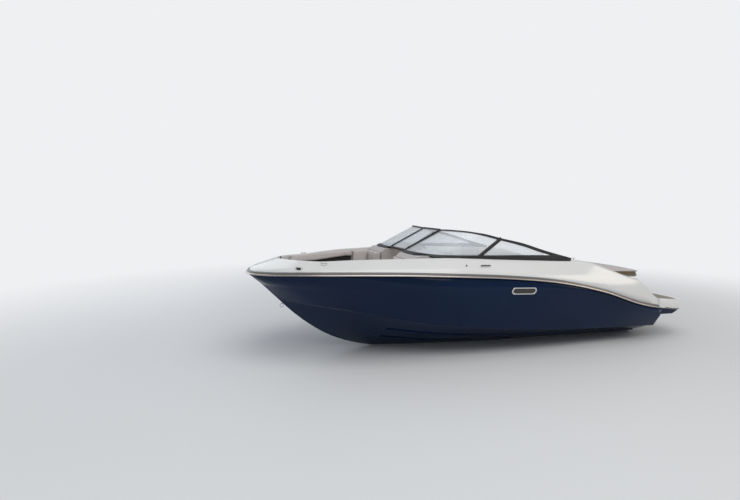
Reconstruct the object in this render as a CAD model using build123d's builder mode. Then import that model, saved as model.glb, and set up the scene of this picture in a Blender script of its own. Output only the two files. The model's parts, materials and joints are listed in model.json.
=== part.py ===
from build123d import *
from math import atan, cos, degrees, hypot, pi, radians, sin
import os

os.makedirs("parts", exist_ok=True)

# Open-bow sport runabout, 6 m long, in millimetres. +X is forward, +Y is port, +Z is up.
# The origin is amidships on the centreline, on the waterline of the boat at rest.
BOW = 3000            # x of the bow tip
RAIL = 650            # z of the rub rail at the bow tip
HULL_WALL = 40        # topsides and bottom
TRANSOM_WALL = 60
SOLE = 110            # cockpit sole
BOW_SOLE = 210        # floor of the bow well
SEAT_BASE = 430       # top of the moulded seat boxes
COCKPIT_HALF = 860    # half width inside the cockpit
WALK_HALF = 250       # half width of the way between the consoles


# Hull sections, port half. turn is the angle of the section's plane from the centreline, foot
# the x of its inner edge, then keel height, and (out, up) of the points from keel to coaming.
SECTIONS = [
    # turn, foot, keel, bottom middle, chine, flat, knuckle, sheer, shoulder, coaming
    (0, 1650, -268, (475, -57), (950, 305), 8, (1170, 510), (1350, 650), (1305, 719), (1002, 834)),
    (7, 1620, -276, (436, -50), (873, 301), 9, (1141, 513), (1360, 652), (1310, 721), (1006, 835)),
    (18, 1580, -286, (391, -46), (781, 295), 12, (1064, 520), (1290, 667), (1230, 740), (951, 836)),
    (34, 1530, -297, (349, -47), (697, 284), 18, (909, 520), (1130, 694), (1071, 766), (832, 839)),
    (52, 1470, -308, (333, -50), (666, 264), 26, (834, 516), (1009, 714), (954, 785), (749, 866)),
    (71, 1410, -318, (340, -58), (681, 235), 36, (833, 509), (969, 729), (922, 800), (733, 888)),
    (90, 1350, -327, (377, -68), (754, 191), 46, (907, 501), (1004, 737), (961, 813), (760, 903)),
    (90, 800, -380, (447, -127), (894, 126), 60, (1042, 510), (1099, 736), (1057, 813), (900, 934)),
    (90, 100, -400, (489, -163), (977, 74), 70, (1113, 527), (1157, 719), (1112, 803), (945, 932)),
    (90, -600, -400, (505, -177), (1010, 46), 75, (1140, 521), (1181, 666), (1133, 771), (959, 928)),
    (90, -1300, -400, (511, -184), (1022, 33), 80, (1150, 445), (1189, 544), (1139, 695), (988, 920)),
    (90, -2000, -400, (512, -186), (1025, 28), 80, (1149, 260), (1175, 355), (1124, 565), (1020, 880)),
    (90, -2700, -400, (511, -187), (1021, 25), 80, (1100, 143), (1093, 254), (1029, 394), (960, 860)),
]


def section_plane(turn, foot):
    a = radians(turn)
    return Plane(origin=(foot, 0, 0), x_dir=(cos(a), sin(a), 0), z_dir=(sin(a), -cos(a), 0))


def hull_form(grow=0):
    """Whole moulding, keel to coaming. A grow over 0 swells it, for what is fastened round it."""
    with BuildPart() as half:
        for turn, foot, keel, middle, chine, flat, knuckle, sheer, shoulder, coaming in SECTIONS:
            with BuildSketch(section_plane(turn, foot)):
                with BuildLine():
                    inner = (chine[0] - flat, chine[1] - 8)
                    mid = (middle[0] - flat / 2, middle[1] - 14)
                    ThreePointArc((0, keel - grow), (mid[0], mid[1] - grow), (inner[0], inner[1] - grow))
                    Polyline(
                        (inner[0], inner[1] - grow),
                        (chine[0] + grow, chine[1] - grow),
                        (knuckle[0] + grow, knuckle[1]),
                        (sheer[0] + grow, sheer[1]),
                        (shoulder[0] + grow, shoulder[1] + grow),
                        (coaming[0], coaming[1] + grow),
                        (0, coaming[1] + 14 + grow),
                        (0, keel - grow),
                    )
                make_face()
        loft()
    with BuildPart() as form:
        add(half.part)
        mirror(half.part, about=Plane.XZ)
    return form.part


def hull_hollow(wall):
    """Space inside the hull shell, open above the sheer."""
    with BuildPart() as half:
        for turn, foot, keel, middle, chine, flat, knuckle, sheer, shoulder, coaming in SECTIONS:
            up = wall * 1.15
            with BuildSketch(section_plane(turn, foot)):
                with BuildLine():
                    ThreePointArc(
                        (0, keel + up), (middle[0] - wall / 2, middle[1] + up), (chine[0] - wall * 1.2, chine[1] + up)
                    )
                    Polyline(
                        (chine[0] - wall * 1.2, chine[1] + up),
                        (knuckle[0] - wall, knuckle[1]),
                        (sheer[0] - wall, sheer[1] + 10),
                        (sheer[0] - wall, sheer[1] + 150),
                        (0, sheer[1] + 150),
                        (0, keel + up),
                    )
                make_face()
        loft()
    with BuildPart() as form:
        add(half.part)
        mirror(half.part, about=Plane.XZ)
    return form.part


# Side view lines, (x, z). The hull meets the deck on the sheer, which sweeps down aft.
SHEER = [
    (3100, 642), (3000, 650), (2650, 681), (2200, 708), (1600, 734), (1000, 738), (400, 730),
    (-150, 702), (-650, 663), (-1100, 588), (-1500, 493), (-1900, 378), (-2250, 306), (-2600, 276),
    (-3100, 270),
]
PLATFORM_FRONT, PLATFORM_AFT = -2373, -3000
PLATFORM_TOP, PLATFORM_FOOT = (422, 374), (298, 226)      # heights at its front and its aft end
DECK_TOP = [(-800, 960), (-1000, 928), (-1280, 896), (-1550, 812), (-1860, 718), (-2010, 690)]
QUARTER_FOOT = (-2370, PLATFORM_TOP[0])


def side_region(points, far):
    """Block between a side-view line and a level far below or above it."""
    with BuildPart() as block:
        with BuildSketch(Plane.XZ):
            with BuildLine():
                Spline(*points)
                Polyline(points[-1], (points[-1][0], far), (points[0][0], far), points[0])
            make_face()
        extrude(amount=1500, both=True)
    return block.part


def platform_line(ends, x):
    return ends[0] + (ends[1] - ends[0]) * (PLATFORM_FRONT - x) / (PLATFORM_FRONT - PLATFORM_AFT)


def platform_side(play):
    """Side view of the platform across the whole beam, grown downward and forward by play."""
    with BuildPart() as block:
        with BuildSketch(Plane.XZ):
            with BuildLine():
                Polyline(
                    (PLATFORM_FRONT + play, PLATFORM_TOP[0] + 200 * min(play, 1)),
                    (PLATFORM_AFT - 20, platform_line(PLATFORM_TOP, PLATFORM_AFT - 20) + 200 * min(play, 1)),
                    (PLATFORM_AFT - 20, platform_line(PLATFORM_FOOT, PLATFORM_AFT - 20) - play),
                    (PLATFORM_FRONT + play, PLATFORM_FOOT[0] - play), close=True,
                )
            make_face()
        extrude(amount=1500, both=True)
    return block.part


below_sheer = side_region(SHEER, -900)
outer_form = hull_form()

# Openings seen from above, (x, half width), bow well first, then cockpit.
WELL = [(2640, 0), (2620, 120), (2500, 270), (2250, 440), (2000, 549), (1700, 668), (1400, 728), (1150, 795)]
WELL_LOW = [(2590, 0), (2572, 70), (2450, 185), (2200, 355), (1950, 490), (1700, 605), (1400, 690), (1150, 780)]
COCKPIT_AFT = -1450


def well_space(low_z, high_z, aft):
    """Space of the bow well, leaning out from WELL_LOW to WELL."""
    with BuildPart() as half:
        for points, level in ((WELL_LOW, low_z), (WELL, high_z)):
            with BuildSketch(Plane.XY.offset(level)):
                with BuildLine():
                    Polyline(*points, (aft, points[-1][1]), (aft, 0), points[0])
                make_face()
        loft(ruled=True)
    with BuildPart() as space:
        add(half.part)
        mirror(half.part, about=Plane.XZ)
    return space.part


with BuildPart() as well_tool:
    with BuildSketch(Plane.XY.offset(-600)):
        with BuildLine():
            Spline(*WELL, (900, 845), tangents=[(0, 1), (-1, 0.12)])
            Polyline((900, 845), (850, COCKPIT_HALF), (COCKPIT_AFT, COCKPIT_HALF), (COCKPIT_AFT, 0), (2640, 0))
        make_face()
        mirror(about=Plane.XZ)
    extrude(amount=2200)
opening = well_tool.part

# Hull shell: outer form below the sheer, less the hollow, with the raked transom.
TRANSOM_TOP, TRANSOM_FOOT = (-2560, 200), (-2420, -400)


def transom_block(inset):
    """All that lies aft of the transom's plane, moved forward by inset."""
    (x1, z1), (x0, z0) = TRANSOM_TOP, TRANSOM_FOOT
    slope = (x1 - x0) / (z1 - z0)
    with BuildPart() as block:
        with BuildSketch(Plane.XZ):
            with BuildLine():
                Polyline(
                    (x0 + slope * -500 + inset, z0 - 500), (x0 + slope * 1500 + inset, z0 + 1500),
                    (-4000, z0 + 1500), (-4000, z0 - 500), (x0 + slope * -500 + inset, z0 - 500),
                )
            make_face()
        extrude(amount=1600, both=True)
    return block.part


CORNER_IN, CORNER_OUT = 800, (1060, 118)     # half width where a corner starts, and (out, forward) further out


def transom_corner(side, inset):
    """What lies outside the plane that cuts one corner of the transom, moved forward by inset."""
    (x1, z1), (x0, z0) = TRANSOM_TOP, TRANSOM_FOOT
    high, low = Vector(x1 + inset, side * CORNER_IN, z1), Vector(x0 + inset, side * CORNER_IN, z0)
    out = Vector(x1 + CORNER_OUT[1] + inset, side * CORNER_OUT[0], z1)
    normal = (low - high).cross(out - high)
    if normal.X > 0:
        normal = normal * -1
    with BuildPart() as block:
        with BuildSketch(Plane(origin=high, x_dir=out - high, z_dir=normal)):
            Rectangle(2400, 2400)
        extrude(amount=700)
    return block.part


with BuildPart() as hollow:
    add(hull_hollow(HULL_WALL))
    add(transom_block(TRANSOM_WALL), mode=Mode.SUBTRACT)
    for side in (-1, 1):
        add(transom_corner(side, 70), mode=Mode.SUBTRACT)

WING = [(-2400, 330), (-2925, 330), (-2912, 212), (-2820, 168), (-2440, 165), (-2400, 330)]
with BuildPart() as hull_shell:
    add(outer_form)
    add(below_sheer, mode=Mode.INTERSECT)
    add(transom_block(0), mode=Mode.SUBTRACT)
    for side in (-1, 1):
        add(transom_corner(side, 0), mode=Mode.SUBTRACT)
    # stern wings under the swim platform, either side of the drive
    for side in (-1, 1):
        with BuildSketch(Plane.XZ.offset(-side * 720)):
            with BuildLine():
                Polyline(*WING)
            make_face()
        extrude(amount=265, both=True)
    add(platform_side(1), mode=Mode.SUBTRACT)
    add(hollow.part, mode=Mode.SUBTRACT)
hull_shell.part.label = "hull_shell"

# Deck moulding: the form above the sheer, cut down aft by the quarter's line.
with BuildPart() as above_quarter:
    with BuildSketch(Plane.XZ):
        with BuildLine():
            Spline(*DECK_TOP)
            Line(DECK_TOP[-1], QUARTER_FOOT)
            Polyline(QUARTER_FOOT, (-3200, QUARTER_FOOT[1]), (-3200, 1500), (-800, 1500), DECK_TOP[0])
        make_face()
    extrude(amount=1500, both=True)

TRUNK_HALF, TRUNK_FRONT, TRUNK_AFT, TRUNK_TOP = 700, -1450, -2372, 620
HATCH_HALF, HATCH_FRONT, HATCH_AFT = 640, -1600, -2030
HATCH_AXIS = (-1550, 632)


def hatch_knuckle(y, long, side):
    """Hinge knuckle on the hatch's axis, with its leaf forward (side 1) or aft (-1)."""
    x, z = HATCH_AXIS
    with BuildPart() as part:
        with BuildSketch(Plane.XZ.offset(-y - long / 2)):
            with Locations(HATCH_AXIS):
                Circle(7)
            if side == 1:
                with Locations((x + 22, z - 9.5)):
                    Rectangle(44, 5)
                with Locations((x + 4, z - 6)):
                    Rectangle(8, 12)
            else:
                with Locations((x - 22, z)):
                    Rectangle(44, 4)
        extrude(amount=long)
    return part.part


with BuildPart() as deck:
    add(outer_form)
    add(opening, mode=Mode.SUBTRACT)
    # engine trunk between the quarters: cleared down, then its own block under the hatch
    with BuildSketch(Plane.XY.offset(0)):
        with Locations(((TRUNK_FRONT + TRUNK_AFT) / 2 - 200, 0)):
            Rectangle(TRUNK_FRONT - TRUNK_AFT + 400, 2 * TRUNK_HALF + 30)
    extrude(amount=1500, mode=Mode.SUBTRACT)
    with BuildSketch(Plane.XY.offset(200)):
        with Locations(((TRUNK_FRONT + TRUNK_AFT) / 2, 0)):
            Rectangle(TRUNK_FRONT - TRUNK_AFT, 2 * TRUNK_HALF + 32)
    extrude(amount=TRUNK_TOP - 200)
    add(Pos(0, 0, 1) * below_sheer, mode=Mode.SUBTRACT)
    add(above_quarter.part, mode=Mode.SUBTRACT)
    # room for the engine under the trunk's top
    with BuildSketch(Plane.XY.offset(0)):
        with Locations(((HATCH_FRONT + TRUNK_AFT + 42) / 2, 0)):
            Rectangle(HATCH_FRONT - TRUNK_AFT - 42, 2 * HATCH_HALF)
    extrude(amount=TRUNK_TOP - 40, mode=Mode.SUBTRACT)
    with BuildSketch(Plane.XY.offset(0)):
        with Locations(((HATCH_FRONT + HATCH_AFT) / 2, 0)):
            Rectangle(HATCH_FRONT - HATCH_AFT, 2 * HATCH_HALF)
        with Locations((QUARTER_FOOT[0] - 500, 0)):
            Rectangle(1000, 3000)
    extrude(amount=1500, mode=Mode.SUBTRACT)
    for y in (-477, -383, 383, 477):
        add(hatch_knuckle(y, 30, 1))
deck.part.label = "deck"

# Rub rail: the form swelled, kept in a band over the sheer.
RAIL_UP, RAIL_OUT = 42, 20
with BuildPart() as rub_rail:
    add(hull_form(RAIL_OUT))
    add(below_sheer, mode=Mode.SUBTRACT)
    add(Pos(0, 0, RAIL_UP) * below_sheer, mode=Mode.INTERSECT)
    add(hull_form(1), mode=Mode.SUBTRACT)
    with BuildSketch(Plane.XY.offset(0)):
        with Locations((-3100, 0)):
            Rectangle(1500, 3000)
    extrude(amount=900, mode=Mode.SUBTRACT)
rub_rail.part.label = "rub_rail"

# Swim platform, its sides drawn in to rounded aft corners, its top falling a little aft.
with BuildPart() as swim_platform:
    with BuildSketch(Plane.XY.offset(100)):
        with BuildLine():
            Polyline((PLATFORM_FRONT, 0), (PLATFORM_FRONT, 1130), (-2640, 1112))
            ThreePointArc((-2640, 1112), (-2880, 1035), (-2966, 860))
            ThreePointArc((-2966, 860), (-2992, 430), (PLATFORM_AFT, 0))
            Line((PLATFORM_AFT, 0), (PLATFORM_FRONT, 0))
        make_face()
        mirror(about=Plane.XZ)
    extrude(amount=500)
    add(platform_side(0), mode=Mode.INTERSECT)
    top_edges = swim_platform.edges().filter_by(
        lambda e: e.center().X < PLATFORM_FRONT - 20
        and abs(e.center().Z - platform_line(PLATFORM_TOP, e.center().X)) < 6
    )
    fillet(top_edges, 14)
swim_platform.part.label = "swim_platform"

# Cockpit and bow moulding: fills the shell round the open spaces.
ENGINE_BAY = (-1560, -2400, 640, -330)   # forward x, aft x, half width, floor
bow_well = well_space(SEAT_BASE - 30, 860, 900)
liner_room = hull_hollow(HULL_WALL + 3)
with BuildPart() as liner:
    add(liner_room)
    add(Pos(0, 0, -1) * below_sheer, mode=Mode.INTERSECT)
    with BuildSketch(Plane.XY.offset(-900)):
        Rectangle(8000, 4000)
    extrude(amount=900 + SOLE - 40, mode=Mode.SUBTRACT)
    with BuildSketch(Plane.XY.offset(0)):
        with Locations((-3300, 0)):
            Rectangle(2000, 4000)
    extrude(amount=900, mode=Mode.SUBTRACT)
    # seat deck of the bow well, its sides leaning out to the deck's edge
    add(bow_well, mode=Mode.SUBTRACT)
    # bow footwell
    with BuildSketch(Plane.XY.offset(BOW_SOLE)):
        with BuildLine():
            Polyline((2150, 0), (2150, 110), (1180, 330), (1180, 0), (2150, 0))
        make_face()
        mirror(about=Plane.XZ)
    extrude(amount=600, mode=Mode.SUBTRACT)
    # cockpit, between the bow bulkhead and the aft bench, its low corners sloped over the bilge
    with BuildSketch(Plane.YZ.offset(-960)):
        with BuildLine():
            Polyline(
                (-730, SOLE), (730, SOLE), (COCKPIT_HALF, SOLE + 100), (COCKPIT_HALF, 1010),
                (-COCKPIT_HALF, 1010), (-COCKPIT_HALF, SOLE + 100), close=True,
            )
        make_face()
    extrude(amount=1180 + 960, mode=Mode.SUBTRACT)
    with BuildSketch(Plane.XY.offset(SEAT_BASE)):
        with Locations((-1205, 0)):
            Rectangle(490, 2 * COCKPIT_HALF)
    extrude(amount=900, mode=Mode.SUBTRACT)
    # engine bay
    with BuildSketch(Plane.XY.offset(ENGINE_BAY[3])):
        with Locations(((ENGINE_BAY[0] + ENGINE_BAY[1]) / 2, 0)):
            Rectangle(ENGINE_BAY[0] - ENGINE_BAY[1], 2 * ENGINE_BAY[2])
    extrude(amount=1500, mode=Mode.SUBTRACT)
liner.part.label = "liner"


# Consoles either side of the walkway: side profile, plan and cross section in common.
def console(profile, side):
    with BuildPart() as box:
        with BuildSketch(Plane.XZ) as outline:
            with BuildLine():
                Polyline(*profile, close=True)
            make_face()
            fillet(outline.vertices().filter_by(lambda v: v.Y > SOLE + 600 and v.X < 1170), 16)
        extrude(amount=-side * 900)
        with BuildSketch(Plane.XY):
            with BuildLine():
                Polyline(
                    (1178, side * WALK_HALF), (1178, side * 775), (900, side * 832), (850, side * 857),
                    (450, side * 857), (450, side * WALK_HALF), close=True,
                )
            make_face()
        extrude(amount=1200, mode=Mode.INTERSECT)
        with BuildSketch(Plane.YZ.offset(400)):
            with BuildLine():
                Polyline(
                    (side * WALK_HALF, SOLE), (side * 540, SOLE), (side * 725, 250), (side * 770, 320),
                    (side * 857, 440), (side * 857, 925), (side * 770, 1015), (side * WALK_HALF, 1015), close=True,
                )
            make_face()
        extrude(amount=1000, mode=Mode.INTERSECT)
    return box.part


console_port = console(
    [(1178, SOLE), (1178, 890), (1130, 936), (1060, 948), (740, 975), (620, 945), (600, 905), (640, 700), (640, SOLE)],
    1,
)
console_port.label = "console_port"
DASH_FACE = [(608, 982), (545, 885)]     # (x, z) of the face that holds the gauges
console_starboard = console(
    [
        (1178, SOLE), (1178, 890), (1130, 936), (1060, 948), (780, 974), (700, 1004), (630, 1010), *DASH_FACE,
        (560, 850), (590, 760), (640, 640), (640, SOLE),
    ],
    -1,
)
console_starboard.label = "console_starboard"

# Windshield stations, port side: foot and head of each line of the glass, (x, y, z).
STATIONS = [
    # foot, head
    ((1070, 268, 957), (550, 278, 1238)),
    ((1080, 470, 960), (562, 462, 1246)),
    ((1062, 690, 962), (548, 645, 1248)),
    ((900, 842, 953), (425, 790, 1243)),
    ((650, 888, 947), (290, 838, 1229)),
    ((388, 914, 947), (50, 874, 1181)),
    ((-100, 940, 946), (-240, 908, 1128)),
    ((-530, 952, 944), (-560, 934, 1043)),
    ((-950, 966, 940), (-953, 965, 954)),
]
BASE_RAIL, HEAD_RAIL = (16, 44), (16, 36)     # height forward, and from the mullion aft
FRAME_THICK, GLASS_THICK, MULLION = 24, 6, 10


def rail_height(rail, station):
    return rail[0] + (rail[1] - rail[0]) * min(1, max(0, (station - 5) / (MULLION - 5)))


def between(a, b, c, d, u):
    """Point on the cubic through four evenly spaced ones, u of the way from b to c."""
    w = (
        -u * (u - 1) * (u - 2) / 6, (u + 1) * (u - 1) * (u - 2) / 2,
        -(u + 1) * u * (u - 2) / 2, (u + 1) * u * (u - 1) / 6,
    )
    return tuple(sum(k * p[axis] for k, p in zip(w, (a, b, c, d))) for axis in range(3))


def finer_stations():
    """A station halfway between each two of the table, on the curve of their feet and heads."""
    last, rows = len(STATIONS) - 1, []
    for i in range(last):
        first = min(max(i - 1, 0), last - 3)
        four, u = STATIONS[first:first + 4], i + 0.5 - (first + 1)
        rows.append(STATIONS[i])
        rows.append(tuple(between(*(row[end] for row in four), u) for end in (0, 1)))
    return rows + [STATIONS[last]]


def station_planes():
    planes, rows = [], finer_stations()
    for i, (foot, head) in enumerate(rows):
        before, after = rows[max(i - 1, 0)], rows[min(i + 1, len(rows) - 1)]
        along = Vector(*after[0]) - Vector(*before[0]) + Vector(*after[1]) - Vector(*before[1])
        rise = Vector(*head) - Vector(*foot)
        if rise.length < 50:
            rise = rise.normalized() * 14
        normal = along.cross(rise).normalized()
        planes.append((Plane(origin=foot, x_dir=rise, z_dir=rise.cross(normal)), rise.length))
    return planes


def glazing_strip(low, high, thick, last):
    """Strip of the windshield between two heights up each station line."""
    with BuildPart() as strip:
        for station, (plane, rise) in enumerate(station_planes()[:last]):
            a, b = low(station, rise), high(station, rise)
            with BuildSketch(plane):
                with Locations(((a + b) / 2, 0)):
                    Rectangle(b - a, thick)
        loft(ruled=True)
    return strip.part


# Centre gate of the windshield, in the plane of the two posts, on two hinges at the port post.
GATE_HALF = 252
GATE_FOOT, GATE_HEAD = (1070, 957), (550, 1243)
gate_rise = hypot(GATE_HEAD[0] - GATE_FOOT[0], GATE_HEAD[1] - GATE_FOOT[1])
gate_up = ((GATE_HEAD[0] - GATE_FOOT[0]) / gate_rise, 0, (GATE_HEAD[1] - GATE_FOOT[1]) / gate_rise)
gate_out = (gate_up[2], 0, -gate_up[0])
gate_plane = Plane(origin=(GATE_FOOT[0], 0, GATE_FOOT[1]), x_dir=(0, 1, 0), z_dir=gate_out)
HINGE_AXIS, HINGE_R, HINGE_AT = (261, 14), 6, (90, 480)    # (y, out of the gate's plane), knuckle, places up the post


def hinge_part(up, long, side):
    """Knuckle round the gate's axis with its leaf, towards the post (side 1) or the gate (-1)."""
    y, out = HINGE_AXIS
    at = Vector(GATE_FOOT[0], 0, GATE_FOOT[1]) + Vector(*gate_up) * (up - long / 2)
    across = Plane(origin=at, x_dir=(0, 1, 0), z_dir=gate_up)
    turned = -1 if across.y_dir.dot(Vector(*gate_out)) < 0 else 1
    with BuildPart() as part:
        with BuildSketch(across):
            with Locations((y, turned * out)):
                Circle(HINGE_R)
            with Locations((y + side * 19, turned * out)):
                Rectangle(34, 4)
        extrude(amount=long)
    return part.part


POST_WIDE = 34
with BuildPart() as frame_side:
    add(glazing_strip(lambda i, h: -30, lambda i, h: min(rail_height(BASE_RAIL, i), h), FRAME_THICK, 17))
    add(glazing_strip(lambda i, h: max(h - rail_height(HEAD_RAIL, i), -12), lambda i, h: h, FRAME_THICK, 17))
    for station, wide, shift in ((0, POST_WIDE, POST_WIDE / 2), (MULLION, 40, 0)):
        plane, rise = station_planes()[station]
        with BuildSketch(Plane(origin=plane.origin, x_dir=plane.z_dir, z_dir=plane.x_dir)):
            with Locations((shift, 0)):
                Rectangle(wide, FRAME_THICK)
        extrude(amount=rise - 2)
    add(outer_form, mode=Mode.SUBTRACT)
with BuildPart() as windshield_frame:
    add(frame_side.part)
    mirror(frame_side.part, about=Plane.XZ)
    for at in HINGE_AT:
        add(hinge_part(at - 24, 16, 1))
        add(hinge_part(at + 24, 16, 1))
    add(console_port, mode=Mode.SUBTRACT)
    add(console_starboard, mode=Mode.SUBTRACT)
windshield_frame.part.label = "windshield_frame"

with BuildPart() as glass_side:
    add(glazing_strip(
        lambda i, h: rail_height(BASE_RAIL, i), lambda i, h: h - rail_height(HEAD_RAIL, i), GLASS_THICK, 16,
    ))
    add(frame_side.part, mode=Mode.SUBTRACT)
with BuildPart() as side_glass:
    add(glass_side.part)
    mirror(glass_side.part, about=Plane.XZ)
    add(console_port, mode=Mode.SUBTRACT)
    add(console_starboard, mode=Mode.SUBTRACT)
side_glass.part.label = "side_glass"

with BuildPart() as gate_frame:
    with BuildSketch(gate_plane.offset(-FRAME_THICK / 2)):
        with Locations((0, gate_rise / 2 + 4)):
            RectangleRounded(2 * GATE_HALF, gate_rise - 8, 12)
            RectangleRounded(2 * GATE_HALF - 48, gate_rise - 56, 8, mode=Mode.SUBTRACT)
    extrude(amount=FRAME_THICK)
    for at in HINGE_AT:
        add(hinge_part(at, 30, -1))
gate_frame.part.label = "gate_frame"
with BuildPart() as gate_glass:
    with BuildSketch(gate_plane.offset(-GLASS_THICK / 2)):
        with Locations((0, gate_rise / 2 + 4)):
            RectangleRounded(2 * GATE_HALF - 48, gate_rise - 56, 8)
    extrude(amount=GLASS_THICK)
gate_glass.part.label = "gate_glass"

# Bow seats: a cushion along each side and a pad on the well's side above it.
SEAT_THICK = 90
with BuildPart() as bow_cushion_side:
    with BuildSketch(Plane.XY.offset(SEAT_BASE - 28)):
        with BuildLine():
            Polyline((2180, 20), (2180, 130), (1240, 345), (1240, 640), (1700, 560), (2200, 310), (2300, 180), (2300, 20), close=True)
        make_face()
    extrude(amount=SEAT_THICK)
with BuildPart() as bow_cushions:
    add(bow_cushion_side.part)
    mirror(bow_cushion_side.part, about=Plane.XZ)
bow_cushions.part.label = "bow_cushions"

def drawn_in(points, amount):
    return [(x - amount * (0.9 if y < 300 else 0.35), max(y - amount, 0)) for x, y in points]


def well_at(level):
    """Outline of the well's wall at one height."""
    u = (level - (SEAT_BASE - 30)) / (860 - (SEAT_BASE - 30))
    return [(a[0] + u * (b[0] - a[0]), a[1] + u * (b[1] - a[1])) for a, b in zip(WELL_LOW, WELL)]


PAD_LOW, PAD_HIGH = SEAT_BASE + 75, 812
with BuildPart() as bow_pad_side:
    for level in (PAD_LOW, PAD_HIGH):
        with BuildSketch(Plane.XY.offset(level)):
            with BuildLine():
                outer, inner = drawn_in(well_at(level), 14)[2:], drawn_in(well_at(level), 66)[2:]
                Polyline(*outer, *inner[::-1], close=True)
            make_face()
    loft(ruled=True)
    with BuildSketch(Plane.YZ.offset(1187)):
        Rectangle(3000, 3000)
    extrude(amount=-300, mode=Mode.SUBTRACT)
with BuildPart() as bow_pads:
    add(bow_pad_side.part)
    mirror(bow_pad_side.part, about=Plane.XZ)
    with BuildSketch(Plane.XY.offset(PAD_LOW - 10)):
        with Locations((1480 + 1000, 0)):
            Rectangle(2000, 3000)
    extrude(amount=745 - PAD_LOW + 10, mode=Mode.SUBTRACT)
    # forward-facing backrests on the consoles
    with BuildSketch(Plane.XY.offset(PAD_LOW - 5)):
        with Locations((1210, 475), (1210, -475)):
            Rectangle(54, 426)
    extrude(amount=400)
bow_pads.part.label = "bow_pads"

# Aft bench
with BuildPart() as bench_cushion:
    with BuildSketch(Plane.XY.offset(SEAT_BASE + 1)):
        with Locations((-1150, 0)):
            RectangleRounded(400, 2 * COCKPIT_HALF - 20, 60)
    extrude(amount=120)
bench_cushion.part.label = "bench_cushion"
with BuildPart() as bench_back:
    with BuildSketch(Plane.XY.offset(SEAT_BASE + 1)):
        with Locations((-1400, 0)):
            Rectangle(94, 2 * COCKPIT_HALF - 20)
    extrude(amount=360)
bench_back.part.label = "bench_back"


# Bucket seats on pedestals, each turning on its post
SEAT_X, SEAT_Y = -130, 480


def bucket_seat(y):
    with BuildPart() as seat:
        with BuildSketch(Plane.XZ.offset(-y)):
            with BuildLine():
                Polyline(
                    (SEAT_X + 225, SOLE + 330), (SEAT_X + 240, SOLE + 400), (SEAT_X + 210, SOLE + 450),
                    (SEAT_X - 130, SOLE + 430), (SEAT_X - 200, SOLE + 860), (SEAT_X - 260, SOLE + 870),
                    (SEAT_X - 235, SOLE + 400), (SEAT_X - 190, SOLE + 330), close=True,
                )
            make_face()
        extrude(amount=230, both=True)
    return seat.part


helm_seat = bucket_seat(-SEAT_Y)
helm_seat.label = "helm_seat"
companion_seat = bucket_seat(SEAT_Y)
companion_seat.label = "companion_seat"

with BuildPart() as seat_pedestals:
    for radius, height in ((130, 14), (37, 325)):
        with BuildSketch(Plane.XY.offset(SOLE)):
            with Locations((SEAT_X, SEAT_Y), (SEAT_X, -SEAT_Y)):
                Circle(radius)
        extrude(amount=height)
seat_pedestals.part.label = "seat_pedestals"

# Steering wheel on its column
WHEEL_AT, WHEEL_TILT, WHEEL_R = (415, -SEAT_Y, 850), 32, 175
wheel_plane = Plane(
    origin=WHEEL_AT, x_dir=(0, 1, 0), z_dir=(-cos(radians(WHEEL_TILT)), 0, sin(radians(WHEEL_TILT)))
)
with BuildPart() as steering_wheel:
    rim_at = wheel_plane.origin + wheel_plane.x_dir * WHEEL_R
    with BuildSketch(Plane(origin=rim_at, x_dir=wheel_plane.x_dir, z_dir=wheel_plane.y_dir)):
        RegularPolygon(14, 8)
    revolve(axis=Axis(wheel_plane.origin, wheel_plane.z_dir))
    with BuildSketch(wheel_plane.offset(-8)):
        Circle(48)
        with PolarLocations(0, 3, start_angle=90):
            with Locations((WHEEL_R / 2, 0)):
                Rectangle(WHEEL_R - 4, 26)
    extrude(amount=12)
steering_wheel.part.label = "steering_wheel"
with BuildPart() as helm_column:
    with BuildSketch(wheel_plane.offset(-8.5)):
        Circle(30)
    extrude(amount=-240)
    add(console_starboard, mode=Mode.SUBTRACT)
helm_column.part.label = "helm_column"

# Gauge panel on the helm's dash, and the throttle on the side beside the helm seat
(dash_x1, dash_z1), (dash_x0, dash_z0) = DASH_FACE
dash_rise = Vector(dash_x1 - dash_x0, 0, dash_z1 - dash_z0)
dash_plane = Plane(
    origin=((dash_x0 + dash_x1) / 2, -SEAT_Y, (dash_z0 + dash_z1) / 2), x_dir=(0, -1, 0),
    z_dir=(-dash_rise.Z, 0, dash_rise.X),
)
with BuildPart() as helm_panel:
    with BuildSketch(dash_plane):
        RectangleRounded(400, 84, 14)
    extrude(amount=5)
    with BuildSketch(dash_plane.offset(4)):
        for y, radius in ((-140, 24), (-62, 36), (62, 36), (140, 24)):
            with Locations((y, 0)):
                RegularPolygon(radius, 16)
    extrude(amount=7)
helm_panel.part.label = "helm_panel"

THROTTLE_X, THROTTLE_Z, SIDE_Y = 385, 800, -859.5
with BuildPart() as throttle_control:
    for y0, deep, points in (
        (0, 44, [(-80, -40), (-60, -50), (60, -50), (75, -35), (60, 46), (-50, 50), (-72, 36)]),
        (44, 14, [(-16, -16), (16, -16), (-34, 150), (-56, 150)]),
        (20, 62, [(-64, 142), (-30, 142), (-26, 160), (-34, 176), (-60, 176), (-68, 160)]),
    ):
        with BuildSketch(Plane.XZ.offset(-SIDE_Y - y0)):
            with BuildLine():
                Polyline(*[(THROTTLE_X + x, THROTTLE_Z + z) for x, z in points], close=True)
            make_face()
        extrude(amount=-deep)
throttle_control.part.label = "throttle_control"

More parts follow.
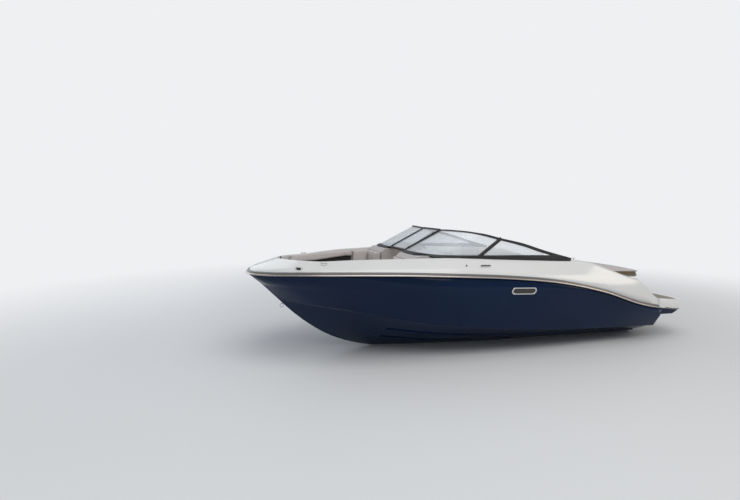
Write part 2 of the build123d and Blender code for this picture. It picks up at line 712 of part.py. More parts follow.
# Engine hatch and the sun pad on it, both overhanging the raked face of the trunk
PAD_THICK = 105
with BuildPart() as engine_hatch:
    with BuildSketch(Plane.XY.offset(TRUNK_TOP + 5)):
        with BuildLine():
            Polyline((-2300, 690), (-1560, 690), (-1560, -690), (-2300, -690))
            ThreePointArc((-2300, -690), (-2440, 0), (-2300, 690))
        make_face()
    extrude(amount=30)
    for y in (-430, 430):
        add(hatch_knuckle(y, 60, -1))
engine_hatch.part.label = "engine_hatch"
with BuildPart() as sun_pad:
    with BuildSketch(Plane.XY.offset(TRUNK_TOP + 36)):
        with BuildLine():
            Polyline((-2440, 685), (-1575, 685), (-1575, -685), (-2440, -685))
            ThreePointArc((-2440, -685), (-2640, 0), (-2440, 685))
        make_face()
    extrude(amount=PAD_THICK)
sun_pad.part.label = "sun_pad"

# Engine, one plain block at its real place and size, on feet that reach down to the bottom
ENGINE_X = -1980
with BuildPart() as engine:
    with BuildSketch(Plane.XY.offset(-400)):
        with Locations((ENGINE_X, 0)):
            Rectangle(620, 380)
    extrude(amount=220)
    add(liner_room, mode=Mode.INTERSECT)
    with BuildSketch(Plane.XY.offset(-190)):
        with Locations((ENGINE_X, 0)):
            RectangleRounded(670, 600, 60)
    extrude(amount=560)
engine.part.label = "engine"

# Stern drive. The steering axis is vertical; the trim axis crosses it just aft of the transom.
STEER_X, TRIM_Z = -2640, -20
RING_HALF, RING_BAR, RING_DEEP = 120, 40, 60
PIN_R, PIN_PLAY = 12, 0.3
CYL_Y, CYL_R = 100, 24
RING_EYE, LEG_EYE = (-52, -120), (-250, -130)    # trim cylinder pins, (x, z) from the axes' crossing
PROP_X, PROP_Z, PROP_R = -3020, -570, 185


def cross_pin(x, z, y0, y1, radius):
    """Round bars across the boat from y0 to y1, one on each side."""
    with BuildPart() as pins:
        for side in (-1, 1):
            with BuildSketch(Plane.XZ.offset(-side * y0)):
                with Locations((x, z)):
                    Circle(radius)
            extrude(amount=-side * (y1 - y0))
    return pins.part


ring_pin = Vector(STEER_X + RING_EYE[0], 0, TRIM_Z + RING_EYE[1])
leg_pin = Vector(STEER_X + LEG_EYE[0], 0, TRIM_Z + LEG_EYE[1])
ring_pins = cross_pin(ring_pin.X, ring_pin.Z, 84, 130, 9)
ring_pin_bore = cross_pin(ring_pin.X, ring_pin.Z, 60, 140, 9.3)
trim_pins = cross_pin(0, 0, 59, 122, PIN_R)
trim_bore = cross_pin(STEER_X, TRIM_Z, 60, 140, PIN_R + PIN_PLAY)
leg_pins = cross_pin(LEG_EYE[0], LEG_EYE[1], 30, 120, 6)
rod_eye_bore = cross_pin(leg_pin.X, leg_pin.Z, 60, 140, 15)

with BuildPart() as gimbal_housing:
    with BuildSketch(Plane.XZ):
        with BuildLine():
            Polyline((-2400, 175), (-2545, 175), (-2560, 160), (-2475, -215), (-2400, -215), close=True)
        make_face()
    extrude(amount=150, both=True)
    for level, arm in ((145, 24), (-209, 24)):
        with BuildSketch(Plane.XY.offset(level)):
            with Locations(((STEER_X - 2440) / 2, 0)):
                Rectangle(-STEER_X - 2440, 52)
            with Locations((STEER_X, 0)):
                Circle(26)
        extrude(amount=arm)
    add(transom_block(-0.5), mode=Mode.INTERSECT)
    with BuildSketch(Plane.XY.offset(-400)):
        with Locations((STEER_X, 0)):
            Circle(PIN_R + PIN_PLAY)
    extrude(amount=900, mode=Mode.SUBTRACT)
gimbal_housing.part.label = "gimbal_housing"

with BuildPart() as gimbal_ring:
    with BuildSketch(Plane.YZ.offset(STEER_X - RING_DEEP / 2)):
        with Locations((0, TRIM_Z)):
            RectangleRounded(2 * RING_HALF, 260, 60)
            RectangleRounded(2 * (RING_HALF - RING_BAR), 180, 40, mode=Mode.SUBTRACT)
    extrude(amount=RING_DEEP)
    for level, tall in ((TRIM_Z + 128, 64), (TRIM_Z - 128 - 64, 64)):
        with BuildSketch(Plane.XY.offset(level)):
            with Locations((STEER_X, 0)):
                Circle(PIN_R)
        extrude(amount=tall)
    for side in (-1, 1):
        for x, long, y0, y1 in ((STEER_X - 9, 42, 114, 138), (STEER_X - 40, 64, 127, 138)):
            with BuildSketch(Plane.XZ.offset(-side * y0)):
                with Locations((x, TRIM_Z - 112)):
                    Rectangle(long, 44)
            extrude(amount=-side * (y1 - y0))
    add(ring_pins)
    add(trim_bore, mode=Mode.SUBTRACT)
gimbal_ring.part.label = "gimbal_ring"

# Horizontal sections of the leg: (height, forward x, aft x, half width) from the axes' crossing
LEG = [(-70, -100, -320, 60), (-200, -120, -300, 48), (-330, -120, -290, 38), (-440, -110, -300, 34), (-540, -90, -300, 30)]
with BuildPart() as drive_leg:
    # upper housing, from a neck inside the ring
    with BuildSketch(Plane.XZ):
        with BuildLine():
            Polyline((-10, 38), (-95, 38), (-132, 78), (-300, 70), (-330, 20), (-320, -75), (-100, -75), (-95, -38), (-10, -38), close=True)
        make_face()
    extrude(amount=60, both=True)
    for height, front, aft, half in LEG:
        with BuildSketch(Plane.XY.offset(height)):
            with BuildLine():
                ThreePointArc((front, 0), ((front * 0.6 + aft * 0.4), half), (aft, 0))
                ThreePointArc((aft, 0), ((front * 0.6 + aft * 0.4), -half), (front, 0))
            make_face()
    loft()
    # plate over the propeller, gear housing and skeg
    with BuildSketch(Plane.XY.offset(-352)):
        with BuildLine():
            Polyline((-110, 0), (-130, 70), (-300, 115), (-430, 105), (-455, 60), (-455, -60), (-430, -105), (-300, -115), (-130, -70), close=True)
        make_face()
    extrude(amount=12)
    with BuildSketch(Plane.XZ):
        with BuildLine():
            Polyline((-317, -550), (-60, -550), (-72, -528), (-110, -506), (-180, -496), (-317, -500), close=True)
        make_face()
    revolve(axis=Axis((0, 0, -550), (1, 0, 0)))
    with BuildSketch(Plane.XZ):
        with BuildLine():
            Polyline((-110, -560), (-300, -560), (-320, -760), (-240, -770), close=True)
        make_face()
    extrude(amount=5, both=True)
    add(trim_pins)
    add(leg_pins)
leg = drive_leg
drive_leg = Pos(STEER_X, 0, TRIM_Z) * leg.part
drive_leg.label = "drive_leg"

# Trim cylinders: a barrel hung on the ring, a rod out to the leg
span = Vector(LEG_EYE[0] - RING_EYE[0], 0, LEG_EYE[1] - RING_EYE[1])


def cylinder_axis(y, start):
    return Plane(origin=ring_pin + span.normalized() * start + Vector(0, y, 0), x_dir=(0, 1, 0), z_dir=span)


with BuildPart() as trim_barrels:
    for y in (-CYL_Y, CYL_Y):
        with BuildSketch(Plane.XZ.offset(-y)):
            with Locations((ring_pin.X, ring_pin.Z)):
                Circle(17)
        extrude(amount=13, both=True)
        with BuildSketch(cylinder_axis(y, 8)):
            Rectangle(20, 24)
        extrude(amount=22)
        with BuildSketch(cylinder_axis(y, 28)):
            Circle(CYL_R)
        extrude(amount=130)
        with BuildSketch(cylinder_axis(y, 34)):
            Circle(9.3)
        extrude(amount=200, mode=Mode.SUBTRACT)
    add(ring_pin_bore, mode=Mode.SUBTRACT)
trim_barrels.part.label = "trim_barrels"

with BuildPart() as trim_rods:
    for y in (-CYL_Y, CYL_Y):
        with BuildSketch(Plane.XZ.offset(-y)):
            with Locations((leg_pin.X, leg_pin.Z)):
                Circle(22)
        extrude(amount=9, both=True)
        with BuildSketch(cylinder_axis(y, 50)):
            Circle(9)
        extrude(amount=span.length - 50 - 16)
    add(rod_eye_bore, mode=Mode.SUBTRACT)
trim_rods.part.label = "trim_rods"

# Propeller: three blades of sections set at the pitch's angle for their radius
PITCH = 480
BLADE = [(40, 70, 12), (90, 118, 9), (140, 128, 6), (183, 60, 3)]    # radius, chord, thickness
with BuildPart() as blade:
    for radius, chord, thick in BLADE:
        a = radians(90) - atan(PITCH / (2 * pi * radius))
        with BuildSketch(Plane(origin=(PROP_X, 0, PROP_Z + radius), x_dir=(cos(a), sin(a), 0), z_dir=(0, 0, 1))):
            with BuildLine():
                ThreePointArc((-chord / 2, 0), (0, thick / 2), (chord / 2, 0))
                ThreePointArc((chord / 2, 0), (0, -thick / 2), (-chord / 2, 0))
            make_face()
    loft()
with BuildPart() as propeller:
    with BuildSketch(Plane.YZ.offset(PROP_X - 62)):
        with Locations((0, PROP_Z)):
            Circle(50)
    extrude(amount=62 + 54)
    for k in range(3):
        add(blade.part.rotate(Axis((PROP_X, 0, PROP_Z), (1, 0, 0)), 120 * k))
propeller.part.label = "propeller"

# Small fittings, seated on the moulding
CLEAT_AT = [(2200, 600, 800, 36), (-1010, 925, 912, 0)]     # x, y, z of the base, turn
LIGHT_AT = (2470, 550, 36)                                   # x, y of the bow light, turn


def fitting_plane(x, y, z, turn, side):
    """Level plane at a place on one side of the deck, turned to run with the rail."""
    a = radians(turn)
    return Plane(origin=(x, side * y, z), x_dir=(cos(a), -side * sin(a), 0), z_dir=(0, 0, 1))


def with_corners(long, wide, cut):
    a, b = long / 2, wide / 2
    return [(-a, cut - b), (cut - a, -b), (a - cut, -b), (a, cut - b), (a, b - cut), (a - cut, b), (cut - a, b), (-a, b - cut)]


with BuildPart() as cleats:
    for x, y, z, turn in CLEAT_AT:
        for side in (-1, 1):
            spot = fitting_plane(x, y, z, turn, side)
            with BuildSketch(spot):
                with Locations((-28, 0), (28, 0)):
                    RegularPolygon(7, 6)
            extrude(amount=34)
            with BuildSketch(spot.offset(30)):
                with BuildLine():
                    Polyline(*with_corners(110, 18, 5), close=True)
                make_face()
            extrude(amount=11)
    add(outer_form, mode=Mode.SUBTRACT)
cleats.part.label = "cleats"

with BuildPart() as nav_lights:
    for side in (-1, 1):
        with BuildSketch(fitting_plane(*LIGHT_AT[:2], 740, LIGHT_AT[2], side)):
            with BuildLine():
                Polyline(*with_corners(92, 44, 12), close=True)
            make_face()
        extrude(amount=54)
    add(outer_form, mode=Mode.SUBTRACT)
nav_lights.part.label = "nav_lights"

# Lifting eyes low on the transom, and the tow eye on the trunk over the platform
EYE_R, EYE_BAR = 24, 10
with BuildPart() as stern_eyes:
    for y in (-600, 600):
        with BuildSketch(Plane.XZ.offset(-y)):
            with Locations((-2537, 100)):
                Circle(EYE_R)
                Circle(EYE_R - EYE_BAR, mode=Mode.SUBTRACT)
        extrude(amount=EYE_BAR / 2, both=True)
    add(transom_block(-0.5), mode=Mode.INTERSECT)
    with BuildSketch(Plane.XY.offset(470)):
        with Locations((TRUNK_AFT - 2, 0)):
            Circle(EYE_R + 4)
            Circle(EYE_R - EYE_BAR + 4, mode=Mode.SUBTRACT)
    extrude(amount=EYE_BAR)
    with BuildSketch(Plane.XY.offset(400)):
        with Locations((TRUNK_AFT + 100 - 0.5, 0)):
            Rectangle(200, 200)
    extrude(amount=200, mode=Mode.SUBTRACT)
stern_eyes.part.label = "stern_eyes"

VENT_AT, VENT_LONG, VENT_TALL = (-145, 570), 350, 100
with BuildPart() as hull_vents:
    for side in (-1, 1):
        with BuildSketch(Plane.XZ.offset(-side * 1050)):
            with Locations(VENT_AT):
                SlotOverall(VENT_LONG, VENT_TALL)
        extrude(amount=-side * 103)
    add(outer_form, mode=Mode.SUBTRACT)
hull_vents.part.label = "hull_vents"

EYE_AT, EYE_OUT = (2571, 239), -45.3     # ring centre, and the angle at which it stands off the stem
with BuildPart() as bow_eye:
    with BuildSketch(Plane.XZ):
        with Locations(EYE_AT):
            Circle(27)
            with Locations(Rotation(0, 0, EYE_OUT)):
                with Locations((-29, 0)):
                    Rectangle(22, 20)
            Circle(17, mode=Mode.SUBTRACT)
    extrude(amount=5, both=True)
    add(outer_form, mode=Mode.SUBTRACT)
bow_eye.part.label = "bow_eye"

for piece in (
    hull_shell, deck, rub_rail, swim_platform, liner, windshield_frame, side_glass, gate_frame, gate_glass,
    bow_cushions, bow_pads, bench_cushion, bench_back, seat_pedestals, steering_wheel, helm_column,
    helm_panel, throttle_control, engine_hatch, sun_pad, engine, gimbal_housing, gimbal_ring, trim_barrels,
    trim_rods, propeller, cleats, nav_lights, stern_eyes, hull_vents, bow_eye,
):
    export_step(piece.part, f"parts/{piece.part.label}.step")
for piece in (console_port, console_starboard, helm_seat, companion_seat, drive_leg):
    export_step(piece, f"parts/{piece.label}.step")
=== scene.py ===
import json
import math

import bmesh
import bpy
from mathutils import Matrix, Vector

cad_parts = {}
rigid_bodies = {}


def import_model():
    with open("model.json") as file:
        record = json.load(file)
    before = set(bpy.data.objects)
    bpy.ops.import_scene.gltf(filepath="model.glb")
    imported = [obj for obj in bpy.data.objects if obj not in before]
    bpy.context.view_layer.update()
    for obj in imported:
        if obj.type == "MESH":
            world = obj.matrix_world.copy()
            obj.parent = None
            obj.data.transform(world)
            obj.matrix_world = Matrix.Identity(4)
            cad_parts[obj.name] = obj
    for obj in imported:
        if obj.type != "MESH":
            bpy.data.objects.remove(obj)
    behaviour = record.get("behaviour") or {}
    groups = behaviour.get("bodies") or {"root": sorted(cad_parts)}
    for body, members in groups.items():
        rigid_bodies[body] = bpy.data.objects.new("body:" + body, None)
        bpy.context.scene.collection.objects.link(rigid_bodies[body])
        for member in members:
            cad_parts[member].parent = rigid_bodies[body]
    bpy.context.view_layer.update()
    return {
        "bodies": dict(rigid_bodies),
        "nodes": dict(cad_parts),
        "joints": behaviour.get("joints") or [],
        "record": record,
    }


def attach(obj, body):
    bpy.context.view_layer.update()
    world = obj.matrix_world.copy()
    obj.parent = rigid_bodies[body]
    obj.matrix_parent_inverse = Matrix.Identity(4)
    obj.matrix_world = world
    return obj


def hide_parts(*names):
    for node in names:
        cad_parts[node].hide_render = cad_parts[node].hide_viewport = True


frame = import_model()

# Water level, studio and camera. The floor lies where the water lies against the hull while
# the boat runs bow-up, so it is tilted a little against the boat. The light is broad and
# soft, like an overcast evening, from above and from the side that the camera sees.
scene = bpy.context.scene
scene.view_settings.view_transform = "Standard"
HAZE = (0.86, 0.87, 0.89, 1)
FOCAL, PHOTO_WIDE, SENSOR = 472, 740, 36.0     # pixels, pixels, millimetres


def water_height(x, y):
    return 0.65 - (1.043 + 0.0422 * (x - 3) - 0.0042 * y) / 0.9991


def new_object(form, name):
    """Object from a finished mesh, in the boat's own frame."""
    mesh = bpy.data.meshes.new(name)
    form.to_mesh(mesh)
    form.free()
    made = bpy.data.objects.new(name, mesh)
    scene.collection.objects.link(made)
    return made


def fill(target, inputs):
    """Sets the inputs of a shader node, or wires them where a socket is given."""
    for key, value in dict(inputs).items():
        if isinstance(value, bpy.types.NodeSocket):
            target.id_data.links.new(value, target.inputs[key])
        else:
            target.inputs[key].default_value = value


def add_node(tree, kind, inputs=(), **settings):
    """Adds a shader node with its settings and inputs."""
    made = tree.nodes.new("ShaderNode" + kind)
    for key, value in settings.items():
        setattr(made, key, value)
    fill(made, inputs)
    return made


form = bmesh.new()
bmesh.ops.create_grid(form, x_segments=1, y_segments=1, size=60)
for vert in form.verts:
    vert.co.z = water_height(vert.co.x, vert.co.y)
water_floor = new_object(form, "water_floor")
floor_paint = bpy.data.materials.new("pale_floor")
floor_paint.use_nodes = True
water_floor.data.materials.append(floor_paint)
tree = floor_paint.node_tree
matt = tree.nodes["Principled BSDF"]
fill(matt, {"Base Color": (0.80, 0.81, 0.82, 1), "Roughness": 0.55, "Specular IOR Level": 0.2})
spot = add_node(tree, "NewGeometry").outputs["Position"]
away = add_node(tree, "VectorMath", {0: spot}, operation="LENGTH").outputs["Value"]
far = add_node(tree, "MapRange", {"Value": away, "From Min": 3.2, "From Max": 10.5}, interpolation_type="SMOOTHSTEP")
rays = add_node(tree, "LightPath").outputs
eye = add_node(tree, "Math", {0: rays["Is Camera Ray"], 1: rays["Is Glossy Ray"]}, operation="MAXIMUM")
eye = add_node(tree, "Math", {0: eye.outputs[0], 1: rays["Is Transmission Ray"]}, operation="MAXIMUM")
fade = add_node(tree, "Math", {0: far.outputs[0], 1: eye.outputs[0]}, operation="MULTIPLY")
haze = add_node(tree, "Emission", {"Color": HAZE, "Strength": 1.0})
blend = add_node(tree, "MixShader", {0: fade.outputs[0], 1: matt.outputs[0], 2: haze.outputs[0]})
fill(next(n for n in tree.nodes if n.type == "OUTPUT_MATERIAL"), {0: blend.outputs[0]})

sky = bpy.data.worlds.new("pale_studio")
scene.world = sky
sky.use_nodes = True
tree = sky.node_tree
tree.nodes.clear()
rays = add_node(tree, "LightPath").outputs
seen = add_node(tree, "Math", {0: rays["Is Camera Ray"], 1: rays["Is Transmission Ray"]}, operation="MAXIMUM")
lit = add_node(tree, "Background", {"Color": (0.90, 0.94, 1.0, 1), "Strength": 0.41})
shown = add_node(tree, "Background", {"Color": HAZE})
mix = add_node(tree, "MixShader", {0: seen.outputs[0], 1: lit.outputs[0], 2: shown.outputs[0]})
add_node(tree, "OutputWorld", {0: mix.outputs[0]})

for name, place, target, size, power, colour in (
    ("sky_panel", (1.5, 4.0, 7.0), (0, 0, 0.5), 7.0, 285, (1.0, 0.99, 0.97)),
    ("low_sun_panel", (-8.5, 5.0, 5.0), (-1.0, 0, 0.5), 4.0, 150, (1.0, 0.90, 0.76)),
    ("fill_panel", (5.0, -6.0, 4.0), (0, 0, 0.5), 6.0, 120, (0.92, 0.96, 1.0)),
):
    lamp = bpy.data.lights.new(name, "AREA")
    lamp.shape, lamp.size, lamp.energy, lamp.color = "SQUARE", size, power, colour
    panel = bpy.data.objects.new(name, lamp)
    panel.location = place
    panel.rotation_euler = (Vector(target) - Vector(place)).to_track_quat("-Z", "Y").to_euler()
    scene.collection.objects.link(panel)

camera_data = bpy.data.cameras.new("photo_camera")
camera_data.sensor_width, camera_data.lens = SENSOR, SENSOR * FOCAL / PHOTO_WIDE
camera = bpy.data.objects.new("photo_camera", camera_data)
ahead = Vector((-0.3322, -0.9393, -0.0852)).normalized()
right = ahead.cross(Vector((0.0106, -0.0941, 0.9955))).normalized()
camera.matrix_world = Matrix.Translation((3.491, 5.798, 1.466)) @ Matrix(
    (right, right.cross(ahead), -ahead)
).transposed().to_4x4()
scene.collection.objects.link(camera)
scene.camera = camera

# Hull shell. One glass-fibre moulding from keel to sheer, with navy gelcoat from the mould: a
# deep vee bottom with spray rails, a flat at the chine and topsides with one soft knuckle.
# It is skinned over the same sections as the source's loft, then cut at the raked transom.
HULL_SECTIONS = [
    # turn, foot, keel, bottom middle, chine, flat, knuckle, sheer
    (0, 1.650, -0.268, (0.475, -0.057), (0.950, 0.305), 0.008, (1.170, 0.510), (1.350, 0.650)),
    (7, 1.620, -0.276, (0.436, -0.050), (0.873, 0.301), 0.009, (1.141, 0.513), (1.360, 0.652)),
    (18, 1.580, -0.286, (0.391, -0.046), (0.781, 0.295), 0.012, (1.064, 0.520), (1.290, 0.667)),
    (34, 1.530, -0.297, (0.349, -0.047), (0.697, 0.284), 0.018, (0.909, 0.520), (1.130, 0.694)),
    (52, 1.470, -0.308, (0.333, -0.050), (0.666, 0.264), 0.026, (0.834, 0.516), (1.009, 0.714)),
    (71, 1.410, -0.318, (0.340, -0.058), (0.681, 0.235), 0.036, (0.833, 0.509), (0.969, 0.729)),
    (90, 1.350, -0.327, (0.377, -0.068), (0.754, 0.191), 0.046, (0.907, 0.501), (1.004, 0.737)),
    (90, 0.800, -0.380, (0.447, -0.127), (0.894, 0.126), 0.060, (1.042, 0.510), (1.099, 0.736)),
    (90, 0.100, -0.400, (0.489, -0.163), (0.977, 0.074), 0.070, (1.113, 0.527), (1.157, 0.719)),
    (90, -0.600, -0.400, (0.505, -0.177), (1.010, 0.046), 0.075, (1.140, 0.521), (1.181, 0.666)),
    (90, -1.300, -0.400, (0.511, -0.184), (1.022, 0.033), 0.080, (1.150, 0.445), (1.189, 0.544)),
    (90, -2.000, -0.400, (0.512, -0.186), (1.025, 0.028), 0.080, (1.149, 0.260), (1.175, 0.355)),
    (90, -2.700, -0.400, (0.511, -0.187), (1.021, 0.025), 0.080, (1.100, 0.143), (1.093, 0.254)),
]
TRANSOM_TOP, TRANSOM_FOOT = Vector((-2.560, 0, 0.200)), Vector((-2.420, 0, -0.400))
TRANSOM_RISE = TRANSOM_TOP - TRANSOM_FOOT
TRANSOM_FACE = Vector((1, 0, -TRANSOM_RISE.x / TRANSOM_RISE.z))
CORNER_IN, CORNER_OUT, CORNER_FORWARD = 0.800, 1.060, 0.118     # half widths, way forward
PORT, UP = Vector((0, 1, 0)), Vector((0, 0, 1))


def on_section(turn, foot, out, up):
    """Point of the boat from a section's own two coordinates."""
    a = math.radians(turn)
    return Vector((foot + out * math.cos(a), out * math.sin(a), up))


def eased(corners, steps=4):
    """Line through (point, cut) corners. Each corner is rounded, starting a cut's length before it."""
    line = [corners[0][0]]
    for (before, _), (at, cut), (after, _) in zip(corners, corners[1:], corners[2:]):
        if cut == 0:
            line.append(at)
            continue
        start = at + (before - at).normalized() * min(cut, 0.45 * (before - at).length)
        end = at + (after - at).normalized() * min(cut, 0.45 * (after - at).length)
        for k in range(steps + 1):
            t = k / steps
            line.append(start * (1 - t) ** 2 + at * 2 * t * (1 - t) + end * t * t)
    return line + [corners[-1][0]]


def faired(rows, steps):
    """Rows of points with curved rows added, so that each line along the boat runs fair."""
    spots = [0.0]
    for a, b in zip(rows, rows[1:]):
        spots.append(spots[-1] + max((b[-1] - a[-1]).length, 0.02))
    last = len(rows) - 1

    def slope(i, k):
        if i in (0, last):
            j = 0 if i == 0 else last - 1
            return (rows[j + 1][k] - rows[j][k]) / (spots[j + 1] - spots[j])
        one, two = spots[i] - spots[i - 1], spots[i + 1] - spots[i]
        fore, aft = (rows[i][k] - rows[i - 1][k]) / one, (rows[i + 1][k] - rows[i][k]) / two
        return (fore * two + aft * one) / (one + two)

    finer = []
    for i in range(last):
        gap = spots[i + 1] - spots[i]
        for step in range(steps):
            t = step / steps
            finer.append([
                a * (2 * t ** 3 - 3 * t * t + 1) + slope(i, k) * gap * (t ** 3 - 2 * t * t + t)
                + b * (3 * t * t - 2 * t ** 3) + slope(i + 1, k) * gap * (t ** 3 - t * t)
                for k, (a, b) in enumerate(zip(rows[i], rows[i + 1]))
            ])
    return finer + [rows[-1]]


def skin(form, rows, closed=False, hoop=False):
    """Bridges each row of points to the next one, and returns the edges of each row. Closed rows are
    rings; in a hoop the last one is bridged to the first."""
    chains = []
    for row in rows:
        verts = [form.verts.new(point) for point in row]
        chains.append([form.edges.new(pair) for pair in zip(verts, verts[1:] + (verts[:1] if closed else []))])
    for one, other in zip(chains, chains[1:] + (chains[:1] if hoop else [])):
        bmesh.ops.bridge_loops(form, edges=one + other)
    return chains


def both_sides(form):
    """Mirrors the port half to starboard, joined on the centreline."""
    bmesh.ops.mirror(form, geom=form.verts[:] + form.edges[:] + form.faces[:], axis="Y", merge_dist=0.0004)
    bmesh.ops.remove_doubles(form, verts=form.verts[:], dist=0.0004)


def cut_at(form, place, normal, **kept):
    """Cuts the mesh along a plane and returns the edges of the cut."""
    geom = form.verts[:] + form.edges[:] + form.faces[:]
    cut = bmesh.ops.bisect_plane(form, geom=geom, plane_co=place, plane_no=normal, **kept)
    return [part for part in cut["geom_cut"] if isinstance(part, bmesh.types.BMEdge)]


def close_cut(form, rim):
    """Fills a cut's outline, straight across its open side where it has one."""
    ends = [v for v in {v for e in rim for v in e.verts} if sum(e in rim for e in v.link_edges) == 1]
    closing = [form.edges.get(ends) or form.edges.new(ends)] if len(ends) == 2 else []
    bmesh.ops.contextual_create(form, geom=rim + closing)


def turn_out(form, way):
    """Turns an open shell's faces outward: the one that lies furthest along a way looks that way."""
    bmesh.ops.recalc_face_normals(form, faces=form.faces[:])
    furthest = max(form.faces, key=lambda face: face.calc_center_median().dot(way))
    if furthest.normal.dot(way) < 0:
        bmesh.ops.reverse_faces(form, faces=form.faces[:])


def assign(made, body, node):
    """Gives a piece its body and the CAD node that it stands for."""
    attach(made, body)
    if node:
        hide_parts(node)


def piece(form, name, material, node=None, body="hull", angle=40, outward=True):
    """Makes the finished mesh a piece that rides on its body, with edges sharp past an angle."""
    if outward:
        bmesh.ops.recalc_face_normals(form, faces=form.faces[:])
    form.normal_update()
    for face in form.faces:
        face.smooth = True
    for edge in form.edges:
        edge.smooth = edge.is_boundary or edge.calc_face_angle(0) < math.radians(angle)
    made = new_object(form, name)
    made.data.materials.append(material)
    assign(made, body, node)
    return made


def finish_with(made, kind, **settings):
    """Adds one finishing modifier."""
    modifier = made.modifiers.new(kind.title(), kind)
    for key, value in settings.items():
        setattr(modifier, key, value)
    return modifier


class Finish:
    """A material in the making: patterns in the object's own coordinates, and what they drive."""

    def __init__(self, name):
        self.material = bpy.data.materials.new(name)
        self.material.use_nodes = True
        self.shader = self.material.node_tree.nodes["Principled BSDF"]
        self.at = self.node("TexCoord").outputs["Object"]

    def node(self, kind, inputs=(), **settings):
        return add_node(self.material.node_tree, kind, inputs, **settings)

    def noise(self, scale, detail, at=None):
        return self.node("TexNoise", {"Vector": at or self.at, "Scale": scale, "Detail": detail}).outputs["Fac"]

    def worked(self, operation, *values):
        """Result of a sum on values or sockets."""
        return self.node("Math", enumerate(values), operation=operation).outputs[0]

    def height(self):
        return self.node("SeparateXYZ", {"Vector": self.at}).outputs["Z"]

    def tones(self, pattern, dark, light, low=0, high=1):
        """Colour from a dark tone to a light one, between two levels of a pattern."""
        ramp = self.node("ValToRGB", {"Fac": pattern})
        for stop, level, tone in zip(ramp.color_ramp.elements, (low, high), (dark, light)):
            stop.position, stop.color = level, (*tone, 1)
        return ramp.outputs[0]

    def mixed(self, share, one, other, **settings):
        """Colour between two others, by a share."""
        return self.node("Mix", {"Factor": share, 6: one, 7: other}, data_type="RGBA", **settings).outputs[2]

    def between(self, pattern, low, high):
        """Value that a pattern moves between two limits."""
        return self.node("MapRange", {"Value": pattern, "To Min": low, "To Max": high}).outputs[0]

    def relief(self, pattern, strength, distance, under=None):
        """Fine relief, laid over another one if given."""
        below = {"Normal": under} if under else {}
        return self.node("Bump", {"Height": pattern, "Strength": strength, "Distance": distance, **below}).outputs[0]

    def done(self, inputs):
        """Sets or wires the shader's inputs and gives the finished material."""
        fill(self.shader, inputs)
        return self.material


paint = Finish("navy_gelcoat")
navy_gelcoat = paint.done({
    "Base Color": paint.tones(paint.noise(1.3, 2.0), (0.0030, 0.0120, 0.036), (0.0045, 0.0190, 0.062)),
    "Normal": paint.relief(paint.noise(9.0, 1.0), 0.03, 0.02),
    "Roughness": paint.between(paint.noise(60.0, 3.0), 0.10, 0.19),
    "Specular IOR Level": 0.13, "Coat Weight": 0.06, "Coat Roughness": 0.03,
})

hull_rows = []
for turn, foot, keel, middle, chine, flat, knuckle, sheer in HULL_SECTIONS:
    inner = Vector((chine[0] - flat, chine[1] - 0.008))
    middle = Vector((middle[0] - flat / 2, middle[1] - 0.014))
    bottom = [
        Vector((0, keel)) * (1 - u) * (1 - 2 * u) + middle * 4 * u * (1 - u) + inner * u * (2 * u - 1)
        for u in (0, 0.1, 0.2, 0.3, 0.4, 0.5, 0.6, 0.7, 0.8, 0.9)
    ]
    side = eased([
        (bottom[-1], 0), (inner, 0.006), (Vector(chine), 0.010), (Vector(knuckle), 0.022), (Vector(sheer), 0),
    ], 3)
    hull_rows.append([on_section(turn, foot, *p) for p in bottom[:-1] + side])
form = bmesh.new()
skin(form, faired(hull_rows, 6))
both_sides(form)
close_cut(form, cut_at(form, TRANSOM_TOP, TRANSOM_FACE, dist=0.00005, clear_inner=True))
for side in (-1, 1):
    normal = Vector((CORNER_FORWARD, side * (CORNER_OUT - CORNER_IN), 0)).cross(TRANSOM_RISE)
    normal *= 1 if normal.x > 0 else -1
    place = TRANSOM_TOP + PORT * side * CORNER_IN
    close_cut(form, cut_at(form, place, normal, dist=0.00005, clear_inner=True))
turn_out(form, PORT)
hull = piece(form, "hull_moulding", navy_gelcoat, "hull_shell", angle=25, outward=False)
finish_with(hull, "SOLIDIFY", thickness=0.006, offset=-1)

# Spray rails. Two low wedges of the same moulding run along each side of the bottom and fade
# out forward; they throw the bow wave outwards.
form = bmesh.new()
for part in (0.44, 0.76):
    rows = []
    for row in faired(hull_rows, 2)[12:]:
        here = part * 9
        low = row[int(here)].lerp(row[int(here) + 1], here % 1)
        nigh = row[max(int(here) - 1, 0)]
        along = (low - nigh).normalized()
        down = Vector((0, along.z, -along.y)).normalized()
        grown = min(1.0, max(0.0, (2.35 - low.x) / 0.9))
        rows.append([
            low - along * 0.045 + down * 0.001, low - along * 0.004 + down * 0.013 * grown,
            low + along * 0.003 + down * 0.012 * grown, low + along * 0.005 - down * 0.004,
        ])
    skin(form, rows)
both_sides(form)
cut_at(form, TRANSOM_TOP + Vector((0.004, 0, 0)), TRANSOM_FACE, clear_inner=True)
for face in form.faces:
    if face.normal.z > 0:
        face.normal_flip()
piece(form, "spray_rails", navy_gelcoat, angle=30, outward=False)

